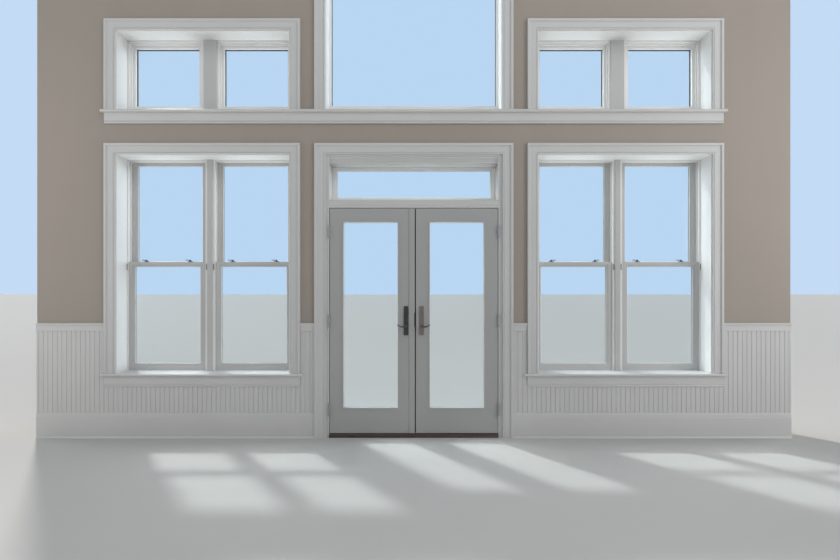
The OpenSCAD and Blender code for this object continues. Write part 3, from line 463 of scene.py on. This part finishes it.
# Darker copy of the trim paint on the door leaves and astragal: painted shade.
door_paint = brushed_paint("door_paint", SHADED_DOOR_WHITE, 0.38, UPRIGHT_BRUSH, tone=0.025)
wall_paint = rolled_paint("wall_paint", GREIGE, 0.72)
siding_paint = weathered_paint("siding_paint", SIDING, 0.6, LEVEL_GRAIN, siding_low.z,
                               course=(siding_low.z, SIDING_EXPOSURE))
outer_upright = weathered_paint("outer_paint_upright", OUTER_WHITE, 0.5, UPRIGHT_GRAIN, 0)
outer_level = weathered_paint("outer_paint_level", OUTER_WHITE, 0.5, LEVEL_GRAIN, 0)
core_finish = wall_core()
threshold_wood = wood("threshold_wood", srgb(78, 54, 46), srgb(36, 25, 23), srgb(98, 76, 64),
                      0.42, along=(0.12, 1, 1), across=48)
glass_finish = clear_glass("clear_glass")
lock_metal = metal("lock_metal", srgb(78, 79, 80), srgb(160, 160, 158), 0.38, 0.8)
clip_metal = metal("clip_metal", srgb(140, 138, 135), srgb(170, 168, 164), 0.5, 0.1)
hinge_metal = metal("hinge_metal", srgb(178, 176, 172), srgb(204, 202, 197), 0.34, 0.75)
bronze = metal("dark_bronze", srgb(74, 71, 68), srgb(122, 108, 96), 0.4, 0.8)
lever_bronze = metal("lever_bronze", srgb(100, 92, 86), srgb(140, 126, 114), 0.36, 0.8)
# The right plates' bronze is the left plates' bronze made paler: a painted reflection.
reflection_pale_bronze = metal("reflection_pale_bronze", srgb(134, 121, 113), srgb(162, 148, 136), 0.38, 0.75)
seal_rubber = rubber("seal_rubber", srgb(36, 36, 37), srgb(62, 61, 60))
seal_grey = rubber("seal_grey", srgb(104, 106, 109), srgb(130, 130, 128))
seal_vinyl = rubber("seal_vinyl", srgb(222, 222, 219), srgb(204, 202, 197))

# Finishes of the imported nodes. The others are glass, or trim in upright strokes.
FINISH_OF = {
    "interior_plaster": wall_paint,
    "door_threshold": threshold_wood,
    "sash_locks": lock_metal,
    "jamb_hinges": hinge_metal,
    "left_leaf_hinges": hinge_metal,
    "right_leaf_hinges": hinge_metal,
    "left_handle_plates": bronze,
    # The right plates take the paler bronze, which paints a reflection on them.
    "right_handle_plates": reflection_pale_bronze,
    "left_lever": lever_bronze,
    "right_lever": lever_bronze,
    # The leaves and the astragal take the darker paint, which paints the shade on the doors.
    "left_leaf": door_paint,
    "right_leaf": door_paint,
    "astragal": door_paint,
    # The transom sash and the window frames take the paler paint, which paints sunlight on them.
    "transom_sash": sunlit_frame_paint,
    "left_window_frame": sunlit_frame_paint,
    "right_window_frame": sunlit_frame_paint,
    "upper_left_frame": sunlit_frame_paint,
    "upper_right_frame": sunlit_frame_paint,
    "upper_centre_frame": sunlit_frame_paint,
    # The sashes take the darker paint, which paints the shade in the reveals.
    "bottom_sashes": shaded_sash_paint,
    "top_sashes": shaded_sash_paint,
    # The post covers take the darker paint, which paints shade on them.
    "post_covers": shaded_post_paint,
    "exterior_siding": siding_paint,
    "outer_window_casings": outer_upright,
    "outer_door_casing": outer_upright,
    "corner_boards": outer_upright,
    "outer_sills": outer_level,
    "rake_boards": outer_level,
    "lower_window_stools": trim_level,
    "lower_window_aprons": trim_level,
    "upper_stool": trim_level,
    "upper_apron": trim_level,
    "wainscot_caps": trim_level,
    "baseboards": trim_level,
    "wall_left": core_finish,
    "wall_right": core_finish,
    "wall_over_door": core_finish,
}


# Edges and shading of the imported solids

METAL_NODES = ("sash_locks", "jamb_hinges", "left_leaf_hinges", "right_leaf_hinges",
               "left_handle_plates", "right_handle_plates", "left_lever", "right_lever")
METAL_EDGE = 0.4 * MM
PAINT_EDGE = 1.2 * MM
WELD = 0.05 * MM
# In degrees
FLAT_ANGLE = 0.5
CREASE_ANGLE = 38
BEVEL_ANGLE = 32


def smoothing_group():
    """Geometry nodes that drop the imported normals and shade round faces smooth."""
    group = bpy.data.node_groups.new("shade_by_angle", "GeometryNodeTree")
    group.interface.new_socket("Geometry", in_out="INPUT", socket_type="NodeSocketGeometry")
    group.interface.new_socket("Geometry", in_out="OUTPUT", socket_type="NodeSocketGeometry")
    start = group.nodes.new("NodeGroupInput")
    end = group.nodes.new("NodeGroupOutput")
    drop = group.nodes.new("GeometryNodeRemoveAttribute")
    drop.inputs["Name"].default_value = "custom_normal"
    smooth = group.nodes.new("GeometryNodeSetShadeSmooth")
    smooth.inputs["Shade Smooth"].default_value = True
    crease = group.nodes.new("GeometryNodeSetShadeSmooth")
    crease.domain = "EDGE"
    crease.inputs["Shade Smooth"].default_value = False
    angle = group.nodes.new("GeometryNodeInputMeshEdgeAngle")
    wide = group.nodes.new("FunctionNodeCompare")
    wide.data_type = "FLOAT"
    wide.operation = "GREATER_THAN"
    wide.inputs["B"].default_value = math.radians(CREASE_ANGLE)
    for source, target in (
        (start.outputs[0], drop.inputs["Geometry"]),
        (drop.outputs["Geometry"], smooth.inputs["Geometry"]),
        (smooth.outputs["Geometry"], crease.inputs["Geometry"]),
        (angle.outputs["Unsigned Angle"], wide.inputs["A"]),
        (wide.outputs["Result"], crease.inputs["Selection"]),
        (crease.outputs["Geometry"], end.inputs[0]),
    ):
        group.links.new(source, target)
    return group


shading_group = smoothing_group()


def soften(piece, edge):
    """Joins the split faces, eases the edges by the given width and shades by angle."""
    weld = piece.modifiers.new("weld", "WELD")
    weld.merge_threshold = WELD
    flat = piece.modifiers.new("flat", "DECIMATE")
    flat.decimate_type = "DISSOLVE"
    flat.angle_limit = math.radians(FLAT_ANGLE)
    ease = piece.modifiers.new("ease", "BEVEL")
    ease.width = edge
    ease.segments = 2
    ease.limit_method = "ANGLE"
    ease.angle_limit = math.radians(BEVEL_ANGLE)
    shading = piece.modifiers.new("shading", "NODES")
    shading.node_group = shading_group
    weight = piece.modifiers.new("weight", "WEIGHTED_NORMAL")
    weight.keep_sharp = True


def dress_nodes():
    """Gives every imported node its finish, and all but the glass and wall cores eased edges."""
    for name, piece in sorted(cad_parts.items()):
        finish = glass_finish if "glass" in name else FINISH_OF.get(name, trim_upright)
        piece.data.materials.clear()
        piece.data.materials.append(finish)
        if "glass" not in name and not name.startswith("wall_"):
            soften(piece, METAL_EDGE if name in METAL_NODES else PAINT_EDGE)


# Building blocks of the added pieces

def join_loops(bm, first, second):
    """Side faces between two closed loops of as many vertices."""
    for i in range(len(first)):
        j = (i + 1) % len(first)
        bm.faces.new((first[i], first[j], second[j], second[i]))


def join_round(bm, loops):
    """Side faces from each loop to the next, and from the last one to the first."""
    for loop, following in zip(loops, loops[1:] + loops[:1]):
        join_loops(bm, loop, following)


def add_prism(bm, outline, lift):
    """A prism on a closed outline of 3-D points, reaching along the vector lift."""
    base = [bm.verts.new(point) for point in outline]
    top = [bm.verts.new(Vector(point) + Vector(lift)) for point in outline]
    bm.faces.new(base[::-1])
    bm.faces.new(top)
    join_loops(bm, base, top)


def add_block(bm, low, high):
    outline = [(low[0], low[1], low[2]), (high[0], low[1], low[2]),
               (high[0], high[1], low[2]), (low[0], high[1], low[2])]
    add_prism(bm, outline, (0, 0, high[2] - low[2]))


def add_ring(bm, x0, x1, z0, z1, profile):
    """A mitred frame inside the rectangle. Its section is a list of (inset, y) points."""
    def corners(inset, y):
        return [bm.verts.new(point) for point in (
            (x0 + inset, y, z0 + inset), (x1 - inset, y, z0 + inset),
            (x1 - inset, y, z1 - inset), (x0 + inset, y, z1 - inset))]
    join_round(bm, [corners(inset, y) for inset, y in profile])


def circle_points(radius, count):
    return [(radius * math.cos(2 * math.pi * i / count), radius * math.sin(2 * math.pi * i / count))
            for i in range(count)]


def bow_points(half, reach, steps=10):
    """Points of half an ellipse, as (out, along), with along from -half to half."""
    return [(reach * math.sin(math.pi * i / steps), -half * math.cos(math.pi * i / steps))
            for i in range(steps + 1)]


def stadium(width, height, steps=6):
    """Outline of an upright bar with round ends, as (across, up)."""
    r = width / 2
    straight = height / 2 - r
    top = [(r * math.cos(math.pi * i / steps), straight + r * math.sin(math.pi * i / steps))
           for i in range(steps + 1)]
    return top + [(-u, -v) for u, v in top]


def add_object(name, bm):
    """Turns a bmesh into a mesh object of the scene."""
    mesh = bpy.data.meshes.new(name)
    bm.to_mesh(mesh)
    bm.free()
    item = bpy.data.objects.new(name, mesh)
    bpy.context.scene.collection.objects.link(item)
    return item


def finish_piece(name, bm, material, body, replaced=()):
    """Turns a bmesh into a piece that rides on a body."""
    bmesh.ops.recalc_face_normals(bm, faces=bm.faces)
    piece = add_object(name, bm)
    piece.data.materials.append(material)
    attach(piece, body)
    if replaced:
        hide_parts(*replaced)
    return piece


def solids(node):
    """The lowest and highest corner of each separate solid of a node."""
    bm = bmesh.new()
    bm.from_mesh(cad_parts[node].data)
    bmesh.ops.remove_doubles(bm, verts=bm.verts, dist=WELD)
    left = set(bm.verts)
    boxes = []
    while left:
        front = [left.pop()]
        reached = list(front)
        while front:
            vert = front.pop()
            for edge in vert.link_edges:
                other = edge.other_vert(vert)
                if other in left:
                    left.discard(other)
                    front.append(other)
                    reached.append(other)
        points = [vert.co for vert in reached]
        boxes.append((Vector([min(p[i] for p in points) for i in range(3)]),
                      Vector([max(p[i] for p in points) for i in range(3)])))
    bm.free()
    return sorted(boxes, key=lambda box: tuple(box[0]))


# Lap siding

BOARD_L = 3.66
# How far a board's head and foot stand from the siding's two faces
BOARD_HEAD = 7 * MM
BOARD_PROUD = 0.5 * MM
JOINT_SEED = 7
# Where the first joint of a course may lie, in board lengths
FIRST_JOINT = (0.25, 1.0)
JOINT_W = 2.5 * MM
JOINT_DEPTH = 9 * MM
JOINT_END = 1 * MM
# How far boards and tools reach past the siding
END_LAP = 60 * MM


def siding_profile():
    """Section of the lapped boards from the foot to the ridge, as (y, z) points."""
    back = siding_low.y + BOARD_PROUD
    head = siding_low.y + BOARD_HEAD
    face = siding_high.y - BOARD_PROUD
    courses = math.ceil((siding_high.z - siding_low.z) / SIDING_EXPOSURE)
    points = []
    for k in range(courses):
        foot = siding_low.z + k * SIDING_EXPOSURE
        points += [(face, foot), (head, foot + SIDING_EXPOSURE)]
    return [(back, siding_low.z - END_LAP), (face, siding_low.z - END_LAP)] + points + [
        (head, siding_high.z + END_LAP), (back, siding_high.z + END_LAP)]


def butt_joints():
    """Slots between boards that meet end to end, staggered from course to course."""
    rng = random.Random(JOINT_SEED)
    bm = bmesh.new()
    foot = siding_low.z
    while foot < siding_high.z:
        x = siding_low.x + rng.uniform(*FIRST_JOINT) * BOARD_L
        while x < siding_high.x:
            add_block(bm, (x, siding_high.y - JOINT_DEPTH, foot + JOINT_END),
                      (x + JOINT_W, siding_high.y + END_LAP, foot + SIDING_EXPOSURE - JOINT_END))
            x += BOARD_L
        foot += SIDING_EXPOSURE
    return bm


def cut_with(piece, name, bm, operation):
    """Applies one exact boolean to the piece, with a tool made from the bmesh."""
    bmesh.ops.recalc_face_normals(bm, faces=bm.faces)
    tool = add_object(name, bm)
    cut = piece.modifiers.new("cut", "BOOLEAN")
    cut.object = tool
    cut.operation = operation
    cut.solver = "EXACT"
    bpy.context.view_layer.update()
    shaped = bpy.data.meshes.new_from_object(
        piece.evaluated_get(bpy.context.evaluated_depsgraph_get()))
    piece.modifiers.remove(cut)
    piece.data = shaped
    bpy.data.objects.remove(tool)


def lap_siding():
    """Lap boards cut to the siding's outline, with its openings and butt joints."""
    bm = bmesh.new()
    start = siding_low.x - END_LAP
    add_prism(bm, [(start, y, z) for y, z in siding_profile()],
              (siding_high.x - siding_low.x + 2 * END_LAP, 0, 0))
    piece = finish_piece("lap_siding", bm, siding_paint, "wall",
                         ("exterior_siding",))
    sheet = bmesh.new()
    sheet.from_mesh(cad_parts["exterior_siding"].data)
    bmesh.ops.remove_doubles(sheet, verts=sheet.verts, dist=WELD)
    cut_with(piece, "siding_sheet", sheet, "INTERSECT")
    cut_with(piece, "joint_slots", butt_joints(), "DIFFERENCE")


# Glazing seals, one ring on each face of every pane

BEAD_W = 4.5 * MM
BEAD_T = 6.5 * MM
BEAD_LIP_T = 1 * MM
GASKET_W = 6 * MM
GASKET_T = 2.5 * MM
# How far a pane reaches into its frame
PANE_BITE = 9.7 * MM


def bead_section(face, way):
    """A sloped bead from the frame down to the glass."""
    return [(0, face), (0, face + way * BEAD_T), (BEAD_W, face + way * BEAD_LIP_T), (BEAD_W, face)]


def gasket_section(face, way):
    """A flat strip on the glass."""
    return [(0, face), (0, face + way * GASKET_T), (GASKET_W, face + way * GASKET_T), (GASKET_W, face)]


def glazing_seals(node, body, material, section):
    """Seals on both faces of every pane of a node."""
    bm = bmesh.new()
    for low, high in solids(node):
        sight = (low.x + PANE_BITE, high.x - PANE_BITE, low.z + PANE_BITE, high.z - PANE_BITE)
        add_ring(bm, *sight, section(low.y, -1))
        add_ring(bm, *sight, section(high.y, 1))
    finish_piece(node.replace("glass", "seals"), bm, material, body)


# Door seals: bulbs on the frame's stops and the astragal, and a sweep under each leaf

# Gap round the leaves, and how far the bead on their outer face stands out
LEAF_GAP = 5 * MM
LEAF_BEAD = 4 * MM
BULB_R = 2 * MM
# How far a bulb stands out, in radii
BULB_REACH = 1.8
BULB_STEPS = 8
# How far the middle of a bulb lies inside the jambs and head
BULB_IN = 6 * MM
MEETING_SEAL_W = 10.4 * MM
MEETING_SEAL_T = 6 * MM
MEETING_WEB_HALF = 1.2 * MM
# How far that seal lies behind the middle of the astragal
MEETING_SEAL_BACK = 7 * MM
SWEEP_T = 5 * MM
SWEEP_CLEAR = 0.5 * MM
# Places of a sweep's fins, in fin thicknesses from its middle
SWEEP_FINS = (-1.5, 0, 1.5)


def door_seals():
    """Bulb seals on the stops, which the leaves close against."""
    leaf_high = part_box("right_leaf")[1]
    threshold_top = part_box("door_threshold")[1].z
    stop_y = leaf_high.y - LEAF_BEAD + LEAF_GAP
    edge = leaf_high.x + LEAF_GAP - BULB_IN
    head = leaf_high.z + LEAF_GAP - BULB_IN
    bulb = bow_points(BULB_R, BULB_R * BULB_REACH, BULB_STEPS)
    bm = bmesh.new()
    for side in (-1, 1):
        outline = [(side * edge - along, stop_y - out, threshold_top) for out, along in bulb]
        add_prism(bm, outline, (0, 0, head - threshold_top))
    add_prism(bm, [(-edge, stop_y - out, head - along) for out, along in bulb], (2 * edge, 0, 0))
    finish_piece("door_seals", bm, seal_rubber, "wall")


def meeting_seal():
    """The bulb on the astragal that closes the gap between the leaves."""
    low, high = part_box("astragal")
    middle = (low.y + high.y) / 2 + MEETING_SEAL_BACK
    radius = MEETING_SEAL_T / 2
    bulb_x = high.x + MEETING_SEAL_W - radius
    bulb = [(bulb_x + out, middle - along) for out, along in bow_points(radius, radius)]
    outline = [(high.x, middle + MEETING_WEB_HALF)] + bulb + [(high.x, middle - MEETING_WEB_HALF)]
    bm = bmesh.new()
    add_prism(bm, [(x, y, low.z) for x, y in outline], (0, 0, high.z - low.z))
    finish_piece("meeting_seal", bm, seal_rubber, "left_door")


def door_sweep(name, leaf, body):
    """A finned strip that closes the gap over the threshold."""
    low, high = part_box(leaf)
    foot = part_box("door_threshold")[1].z + SWEEP_CLEAR
    middle = (low.y + high.y) / 2
    root_half = SWEEP_T / 2
    tip_half = SWEEP_T / 6
    bm = bmesh.new()
    for fin in SWEEP_FINS:
        y = middle + fin * SWEEP_T
        outline = [(low.x, y - root_half, low.z), (low.x, y + root_half, low.z),
                   (low.x, y + tip_half, foot), (low.x, y - tip_half, foot)]
        add_prism(bm, outline, (high.x - low.x, 0, 0))
    finish_piece(name, bm, seal_rubber, body)


# Screws and hinge tips

# Recesses, as shares of the head's radius
CROSS_W = 0.28
CROSS_REACH = 0.62
SLOT_HALF = 0.11
SLOT_REACH = 0.72
# The slot's notch: its reach in half widths, and its tip and foot as shares of the slot's reach
NOTCH_REACH = 2.2
NOTCH_TIP = 0.2
NOTCH_FOOT = 0.4
# A head's rim height, crown radius, and its recess's taper and floor height, as shares
RIM_UP = 0.45
CROWN_R = 0.82
RECESS_TAPER = 0.94
RECESS_UP = 0.25
HEAD_STEPS = 20

HINGE_SCREW_R = 4 * MM
HINGE_SCREW_PROUD = 0.7 * MM
# Places of a plate's screws, as shares of its height and in turn of its depth
SCREW_ROWS = (-0.36, -0.12, 0.12, 0.36)
SCREW_DEPTHS = (0.72, 0.42)
# Places of the hinge pins: across from the doorway's middle, and out towards the room
HINGE_PIN_X = 0.763
HINGE_PIN_OUT = 0.009
PIN_TIP_R = 4.6 * MM
PIN_TIP_H = 3.5 * MM
PIN_TIP_STEPS = 16
PIN_TIP_ROWS = 5
# A tip's neck radius and height, and the height where its cap starts, as shares
NECK_R = 0.75
NECK_UP = 0.2
CAP_UP = 0.3


def cross_points(radius):
    """Outline of a cross recess inside a circle of the radius."""
    w = radius * CROSS_W / 2
    r = radius * CROSS_REACH
    return [(r, -w), (r, w), (w, w), (w, r), (-w, r), (-w, w),
            (-r, w), (-r, -w), (-w, -w), (-w, -r), (w, -r), (w, -w)]


def slot_points(radius):
    """Outline of a key slot, notched at one side, inside a circle of the radius."""
    w = radius * SLOT_HALF
    r = radius * SLOT_REACH
    return [(w, -r), (w, r), (-w, r), (-w, 0), (-NOTCH_REACH * w, -NOTCH_TIP * r),
            (-w, -NOTCH_FOOT * r), (-w, -r)]


def loops_over(bm, centre, out):
    """A function that lays (u, v) points square to the unit vector out, at a height over centre."""
    out = Vector(out)
    across = out.orthogonal().normalized()
    other = out.cross(across)
    return lambda points, height: [
        bm.verts.new(Vector(centre) + across * u + other * v + out * height) for u, v in points]


def add_head(bm, centre, out, radius, proud, recess):
    """A domed head proud of a face, with a recess cut in it. Out is the face's unit normal."""
    lay = loops_over(bm, centre, out)
    foot = lay(circle_points(radius, HEAD_STEPS), 0)
    rim = lay(circle_points(radius, HEAD_STEPS), proud * RIM_UP)
    crown = lay(circle_points(radius * CROWN_R, HEAD_STEPS), proud)
    join_loops(bm, foot, rim)
    join_loops(bm, rim, crown)
    bm.faces.new(foot[::-1])
    mouth = lay(recess(radius), proud)
    floor = lay(recess(radius * RECESS_TAPER), proud * RECESS_UP)
    join_loops(bm, mouth, floor)
    bm.faces.new(floor)
    edges = [bm.edges.get((loop[i], loop[(i + 1) % len(loop)]))
             for loop in (crown, mouth) for i in range(len(loop))]
    bmesh.ops.triangle_fill(bm, edges=edges, use_beauty=True)


def add_button(bm, centre, out, radius, tall):
    """A solid of revolution: a short neck under a rounded cap."""
    profile = [(radius * NECK_R, 0), (radius * NECK_R, tall * NECK_UP), (radius, tall * CAP_UP)]
    profile += [(radius * math.cos(a), tall * (CAP_UP + (1 - CAP_UP) * math.sin(a)))
                for a in [math.pi / 2 * i / PIN_TIP_ROWS for i in range(1, PIN_TIP_ROWS)]]
    lay = loops_over(bm, centre, out)
    loops = [lay(circle_points(r, PIN_TIP_STEPS), height) for r, height in profile]
    for first, second in zip(loops, loops[1:]):
        join_loops(bm, first, second)
    bm.faces.new(loops[0][::-1])
    bm.faces.new(loops[-1])


def plate_screws(name, body, face, way):
    """Screws in the hinge plates on one face, four a plate, in a zigzag. They look along way on X."""
    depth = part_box("right_leaf_hinges")[1].y
    bm = bmesh.new()
    for low, high in solids("right_leaf_hinges"):
        middle = (low.z + high.z) / 2
        tall = high.z - low.z
        for k, share in enumerate(SCREW_ROWS):
            centre = (face, depth * SCREW_DEPTHS[k % 2], middle + share * tall)
            add_head(bm, centre, (way, 0, 0), HINGE_SCREW_R, HINGE_SCREW_PROUD, cross_points)
    finish_piece(name, bm, hinge_metal, body)


def hinge_screws():
    """Screws in the plates on the jambs and in those on the leaves."""
    leaf_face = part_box("right_leaf")[1].x
    for side, word in SIDES:
        plate_screws(f"{word}_jamb_screws", "wall", side * (leaf_face + LEAF_GAP), -side)
    for side, word in SIDES:
        plate_screws(f"{word}_leaf_screws", f"{word}_door", side * leaf_face, side)


def hinge_tips():
    """Button tips on both ends of every hinge pin."""
    bm = bmesh.new()
    for low, high in solids("jamb_hinges"):
        side = 1 if low.x > 0 else -1
        for z, way in ((low.z, -1), (high.z, 1)):
            add_button(bm, (side * HINGE_PIN_X, -HINGE_PIN_OUT, z), (0, 0, way), PIN_TIP_R, PIN_TIP_H)
    finish_piece("hinge_tips", bm, hinge_metal, "wall")


# Lock parts

# Place of the handles across from the doorway's middle, and heights of cylinder and latch
HANDLE_X = 70 * MM
CYLINDER_Z = 1.115
LATCH_Z = 1.004
# How far the cylinder's rose stands off the inside plate
CYLINDER_OUT = 5 * MM
KEY_CYLINDER_R = 7 * MM
KEY_CYLINDER_PROUD = 1 * MM
PLATE_SCREW_IN = 14 * MM
PLATE_SCREW_R = 3.6 * MM
PLATE_SCREW_PROUD = 0.8 * MM
TURN_W = 8 * MM
TURN_H = 27 * MM
TURN_OUT = 15 * MM
TURN_EDGE = 1.5 * MM
FACE_PLATE_H = 190 * MM
FACE_PLATE_W = 22 * MM
FACE_PLATE_T = 1.2 * MM
FACE_SCREW_IN = 12 * MM
FACE_SCREW_R = 3.5 * MM
FACE_SCREW_PROUD = 0.6 * MM
LATCH_H = 16 * MM
# Section of the latch's nose, as (out, across), with its slope on the room side
LATCH_NOSE = ((0, -7 * MM), (0, 7 * MM), (-2.6 * MM, 7 * MM), (-2.6 * MM, 3 * MM), (-0.4 * MM, -7 * MM))
BOLT_W = 10 * MM
BOLT_H = 26 * MM
BOLT_OUT = 1 * MM
STRIKE_T = FACE_PLATE_T / 2
POCKET_W = 14 * MM
POCKET_H = 30 * MM
POCKET_PROUD = 0.5 * MM
POCKET_RIM = 2 * MM
STRIKE_LIP_T = 0.8 * MM
STRIKE_LIP_W = 5 * MM
STRIKE_LIP_D = 9 * MM
STRIKE_LIP_OVER = 8 * MM


def thumb_turn(side, word):
    """The inside turn, and in one piece the inside plate's screws and the outside key cylinder."""
    plate_low, plate_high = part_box(f"{word}_handle_plates")
    # On the right door this is the paler bronze, a painted reflection, and the turn and screws share
    # it.
    plate_finish = FINISH_OF[f"{word}_handle_plates"]
    turn = bmesh.new()
    add_prism(turn, [(side * HANDLE_X + u, plate_low.y, CYLINDER_Z + v)
                     for u, v in stadium(TURN_W, TURN_H)], (0, -TURN_OUT, 0))
    piece = finish_piece(f"{word}_thumb_turn", turn, plate_finish, f"{word}_door")
    soften(piece, TURN_EDGE)
    trim = bmesh.new()
    inner_face = plate_low.y + CYLINDER_OUT
    for z in (plate_low.z + PLATE_SCREW_IN, plate_high.z - PLATE_SCREW_IN):
        add_head(trim, (side * HANDLE_X, inner_face, z), (0, -1, 0),
                 PLATE_SCREW_R, PLATE_SCREW_PROUD, cross_points)
    add_head(trim, (side * HANDLE_X, plate_high.y, CYLINDER_Z), (0, 1, 0),
             KEY_CYLINDER_R, KEY_CYLINDER_PROUD, slot_points)
    finish_piece(f"{word}_plate_screws", trim, plate_finish, f"{word}_door")


def edge_plate(bm, x, y, z, lift):
    """A round-ended plate on the face at x, with its middle at y and z."""
    add_prism(bm, [(x, y + u, z + v) for u, v in stadium(FACE_PLATE_W, FACE_PLATE_H)], (lift, 0, 0))


def edge_screws(bm, x, y, z, way):
    """The two screws of such a plate."""
    for end in (-1, 1):
        centre = (x, y, z + end * (FACE_PLATE_H / 2 - FACE_SCREW_IN))
        add_head(bm, centre, (way, 0, 0), FACE_SCREW_R, FACE_SCREW_PROUD, cross_points)


def add_pocket_rim(bm, x, y, z):
    """A raised rim round a pocket in a face that looks along +X."""
    def corners(inset, out):
        half_w = POCKET_W / 2 - inset
        half_h = POCKET_H / 2 - inset
        return [bm.verts.new((x + out, y + u, z + v)) for u, v in (
            (-half_w, -half_h), (half_w, -half_h), (half_w, half_h), (-half_w, half_h))]
    join_round(bm, [corners(0, 0), corners(0, POCKET_PROUD),
                    corners(POCKET_RIM, POCKET_PROUD), corners(POCKET_RIM, 0)])


def lock_edge():
    """The face plate on the right leaf's free edge and the strike on the astragal."""
    leaf_low, leaf_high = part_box("right_leaf")
    strike_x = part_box("astragal")[1].x
    y = (leaf_low.y + leaf_high.y) / 2
    z = (LATCH_Z + CYLINDER_Z) / 2

    plate = bmesh.new()
    plate_face = leaf_low.x - FACE_PLATE_T
    edge_plate(plate, leaf_low.x, y, z, -FACE_PLATE_T)
    add_prism(plate, [(plate_face + out, y + across, LATCH_Z - LATCH_H / 2)
                      for out, across in LATCH_NOSE], (0, 0, LATCH_H))
    add_block(plate, (plate_face - BOLT_OUT, y - BOLT_W / 2, CYLINDER_Z - BOLT_H / 2),
              (plate_face, y + BOLT_W / 2, CYLINDER_Z + BOLT_H / 2))
    edge_screws(plate, plate_face, y, z, -1)
    finish_piece("lock_face_plate", plate, bronze, "right_door")

    strike = bmesh.new()
    strike_face = strike_x + STRIKE_T
    edge_plate(strike, strike_x, y, z, STRIKE_T)
    for pocket_z in (LATCH_Z, CYLINDER_Z):
        add_pocket_rim(strike, strike_face, y, pocket_z)
    edge_screws(strike, strike_face, y, z, 1)
    lip_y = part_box("astragal")[0].y - STRIKE_LIP_T
    add_block(strike, (strike_x - STRIKE_LIP_W, lip_y, LATCH_Z - STRIKE_LIP_OVER),
              (strike_face, lip_y + STRIKE_LIP_D, CYLINDER_Z + STRIKE_LIP_OVER))
    finish_piece("lock_strike", strike, bronze, "left_door")


# Clips on the window stops beside the lower sashes' heads

# How far the inner stop's face lies in front of the sash, and how far the stop laps over it
STOP_T = 12.3 * MM
STOP_LAP = 6 * MM
CLIP_W = 15 * MM
CLIP_H = 62 * MM
CLIP_OUT = 6 * MM
CLIP_DROP = 46 * MM
CLIP_EDGE = 2 * MM


def sash_clips():
    """Half-moon clips on the inner stops, at both sides of each lower sash."""
    bm = bmesh.new()
    stop_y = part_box("bottom_sashes")[0].y - STOP_T
    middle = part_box("bottom_sashes")[1].z - CLIP_DROP
    for low, high in solids("bottom_sashes"):
        for x, way in ((low.x + STOP_LAP, -1), (high.x - STOP_LAP, 1)):
            outline = [(x + way * out, stop_y, middle + along)
                       for out, along in bow_points(CLIP_H / 2, CLIP_W)]
            add_prism(bm, outline, (0, -CLIP_OUT, 0))
    piece = finish_piece("sash_clips", bm, clip_metal, "wall")
    soften(piece, CLIP_EDGE)


# Floor

FLOOR_HALF = 300
FLOOR_COLOUR = srgb(206, 205, 203)


def make_floor():
    """A plain floor round the part."""
    bm = bmesh.new()
    bmesh.ops.create_grid(bm, x_segments=1, y_segments=1, size=FLOOR_HALF)
    finish = Finish("floor", 0.8)
    finish.shader.inputs["Base Color"].default_value = FLOOR_COLOUR
    item = add_object("floor", bm)
    item.data.materials.append(finish.material)
    return item


# Making the scene

bpy.context.scene.view_settings.view_transform = "Standard"
make_camera()
make_world(ambient=0.22, seen=srgb(196, 219, 245))
make_room_panel("room_top", (0.8, -2.6, 5.4), (0.2, 0, 3.2), wide=7, tall=3, radiance=0.75)
make_sun("room", (-0.75, 0.7, -0.5), strength=0.4, softness=25, colour=WARM)
room_left = make_room_panel("room_left", (-4.6, -2.2, 2.2), (-3.2, 0, 1.8),
                            wide=2.2, tall=3, radiance=1.4)
room_right = make_room_panel("room_right", (4.6, -2.2, 2.2), (3.2, 0, 1.8),
                             wide=2.2, tall=3, radiance=2.1)
make_sun("sky_left", (0.92, -0.35, -0.1), strength=2.05, softness=40, colour=COOL)
make_sun("sky_right", (-0.92, -0.35, -0.1), strength=2.0, softness=40, colour=COOL)
make_sun("through_the_glass", (0.367, -0.58, -0.727), strength=1.55, softness=4, colour=SUNLIT)
ground_glow = make_sun("ground_glow", (0, -0.28, 0.96), strength=2.5, softness=60, colour=WARM)

dress_nodes()
lap_siding()
glazing_seals("lower_window_glass", "wall", seal_vinyl, bead_section)
glazing_seals("upper_window_glass", "wall", seal_grey, gasket_section)
glazing_seals("transom_glass", "wall", seal_vinyl, bead_section)
glazing_seals("left_leaf_glass", "left_door", seal_vinyl, bead_section)
glazing_seals("right_leaf_glass", "right_door", seal_vinyl, bead_section)
door_seals()
meeting_seal()
door_sweep("left_sweep", "left_leaf", "left_door")
door_sweep("right_sweep", "right_leaf", "right_door")
hinge_screws()
hinge_tips()
for side, word in SIDES:
    thumb_turn(side, word)
lock_edge()
sash_clips()

floor = make_floor()
let_through(ground_glow, floor)
pass_over(room_left, floor)
pass_over(room_right, floor)
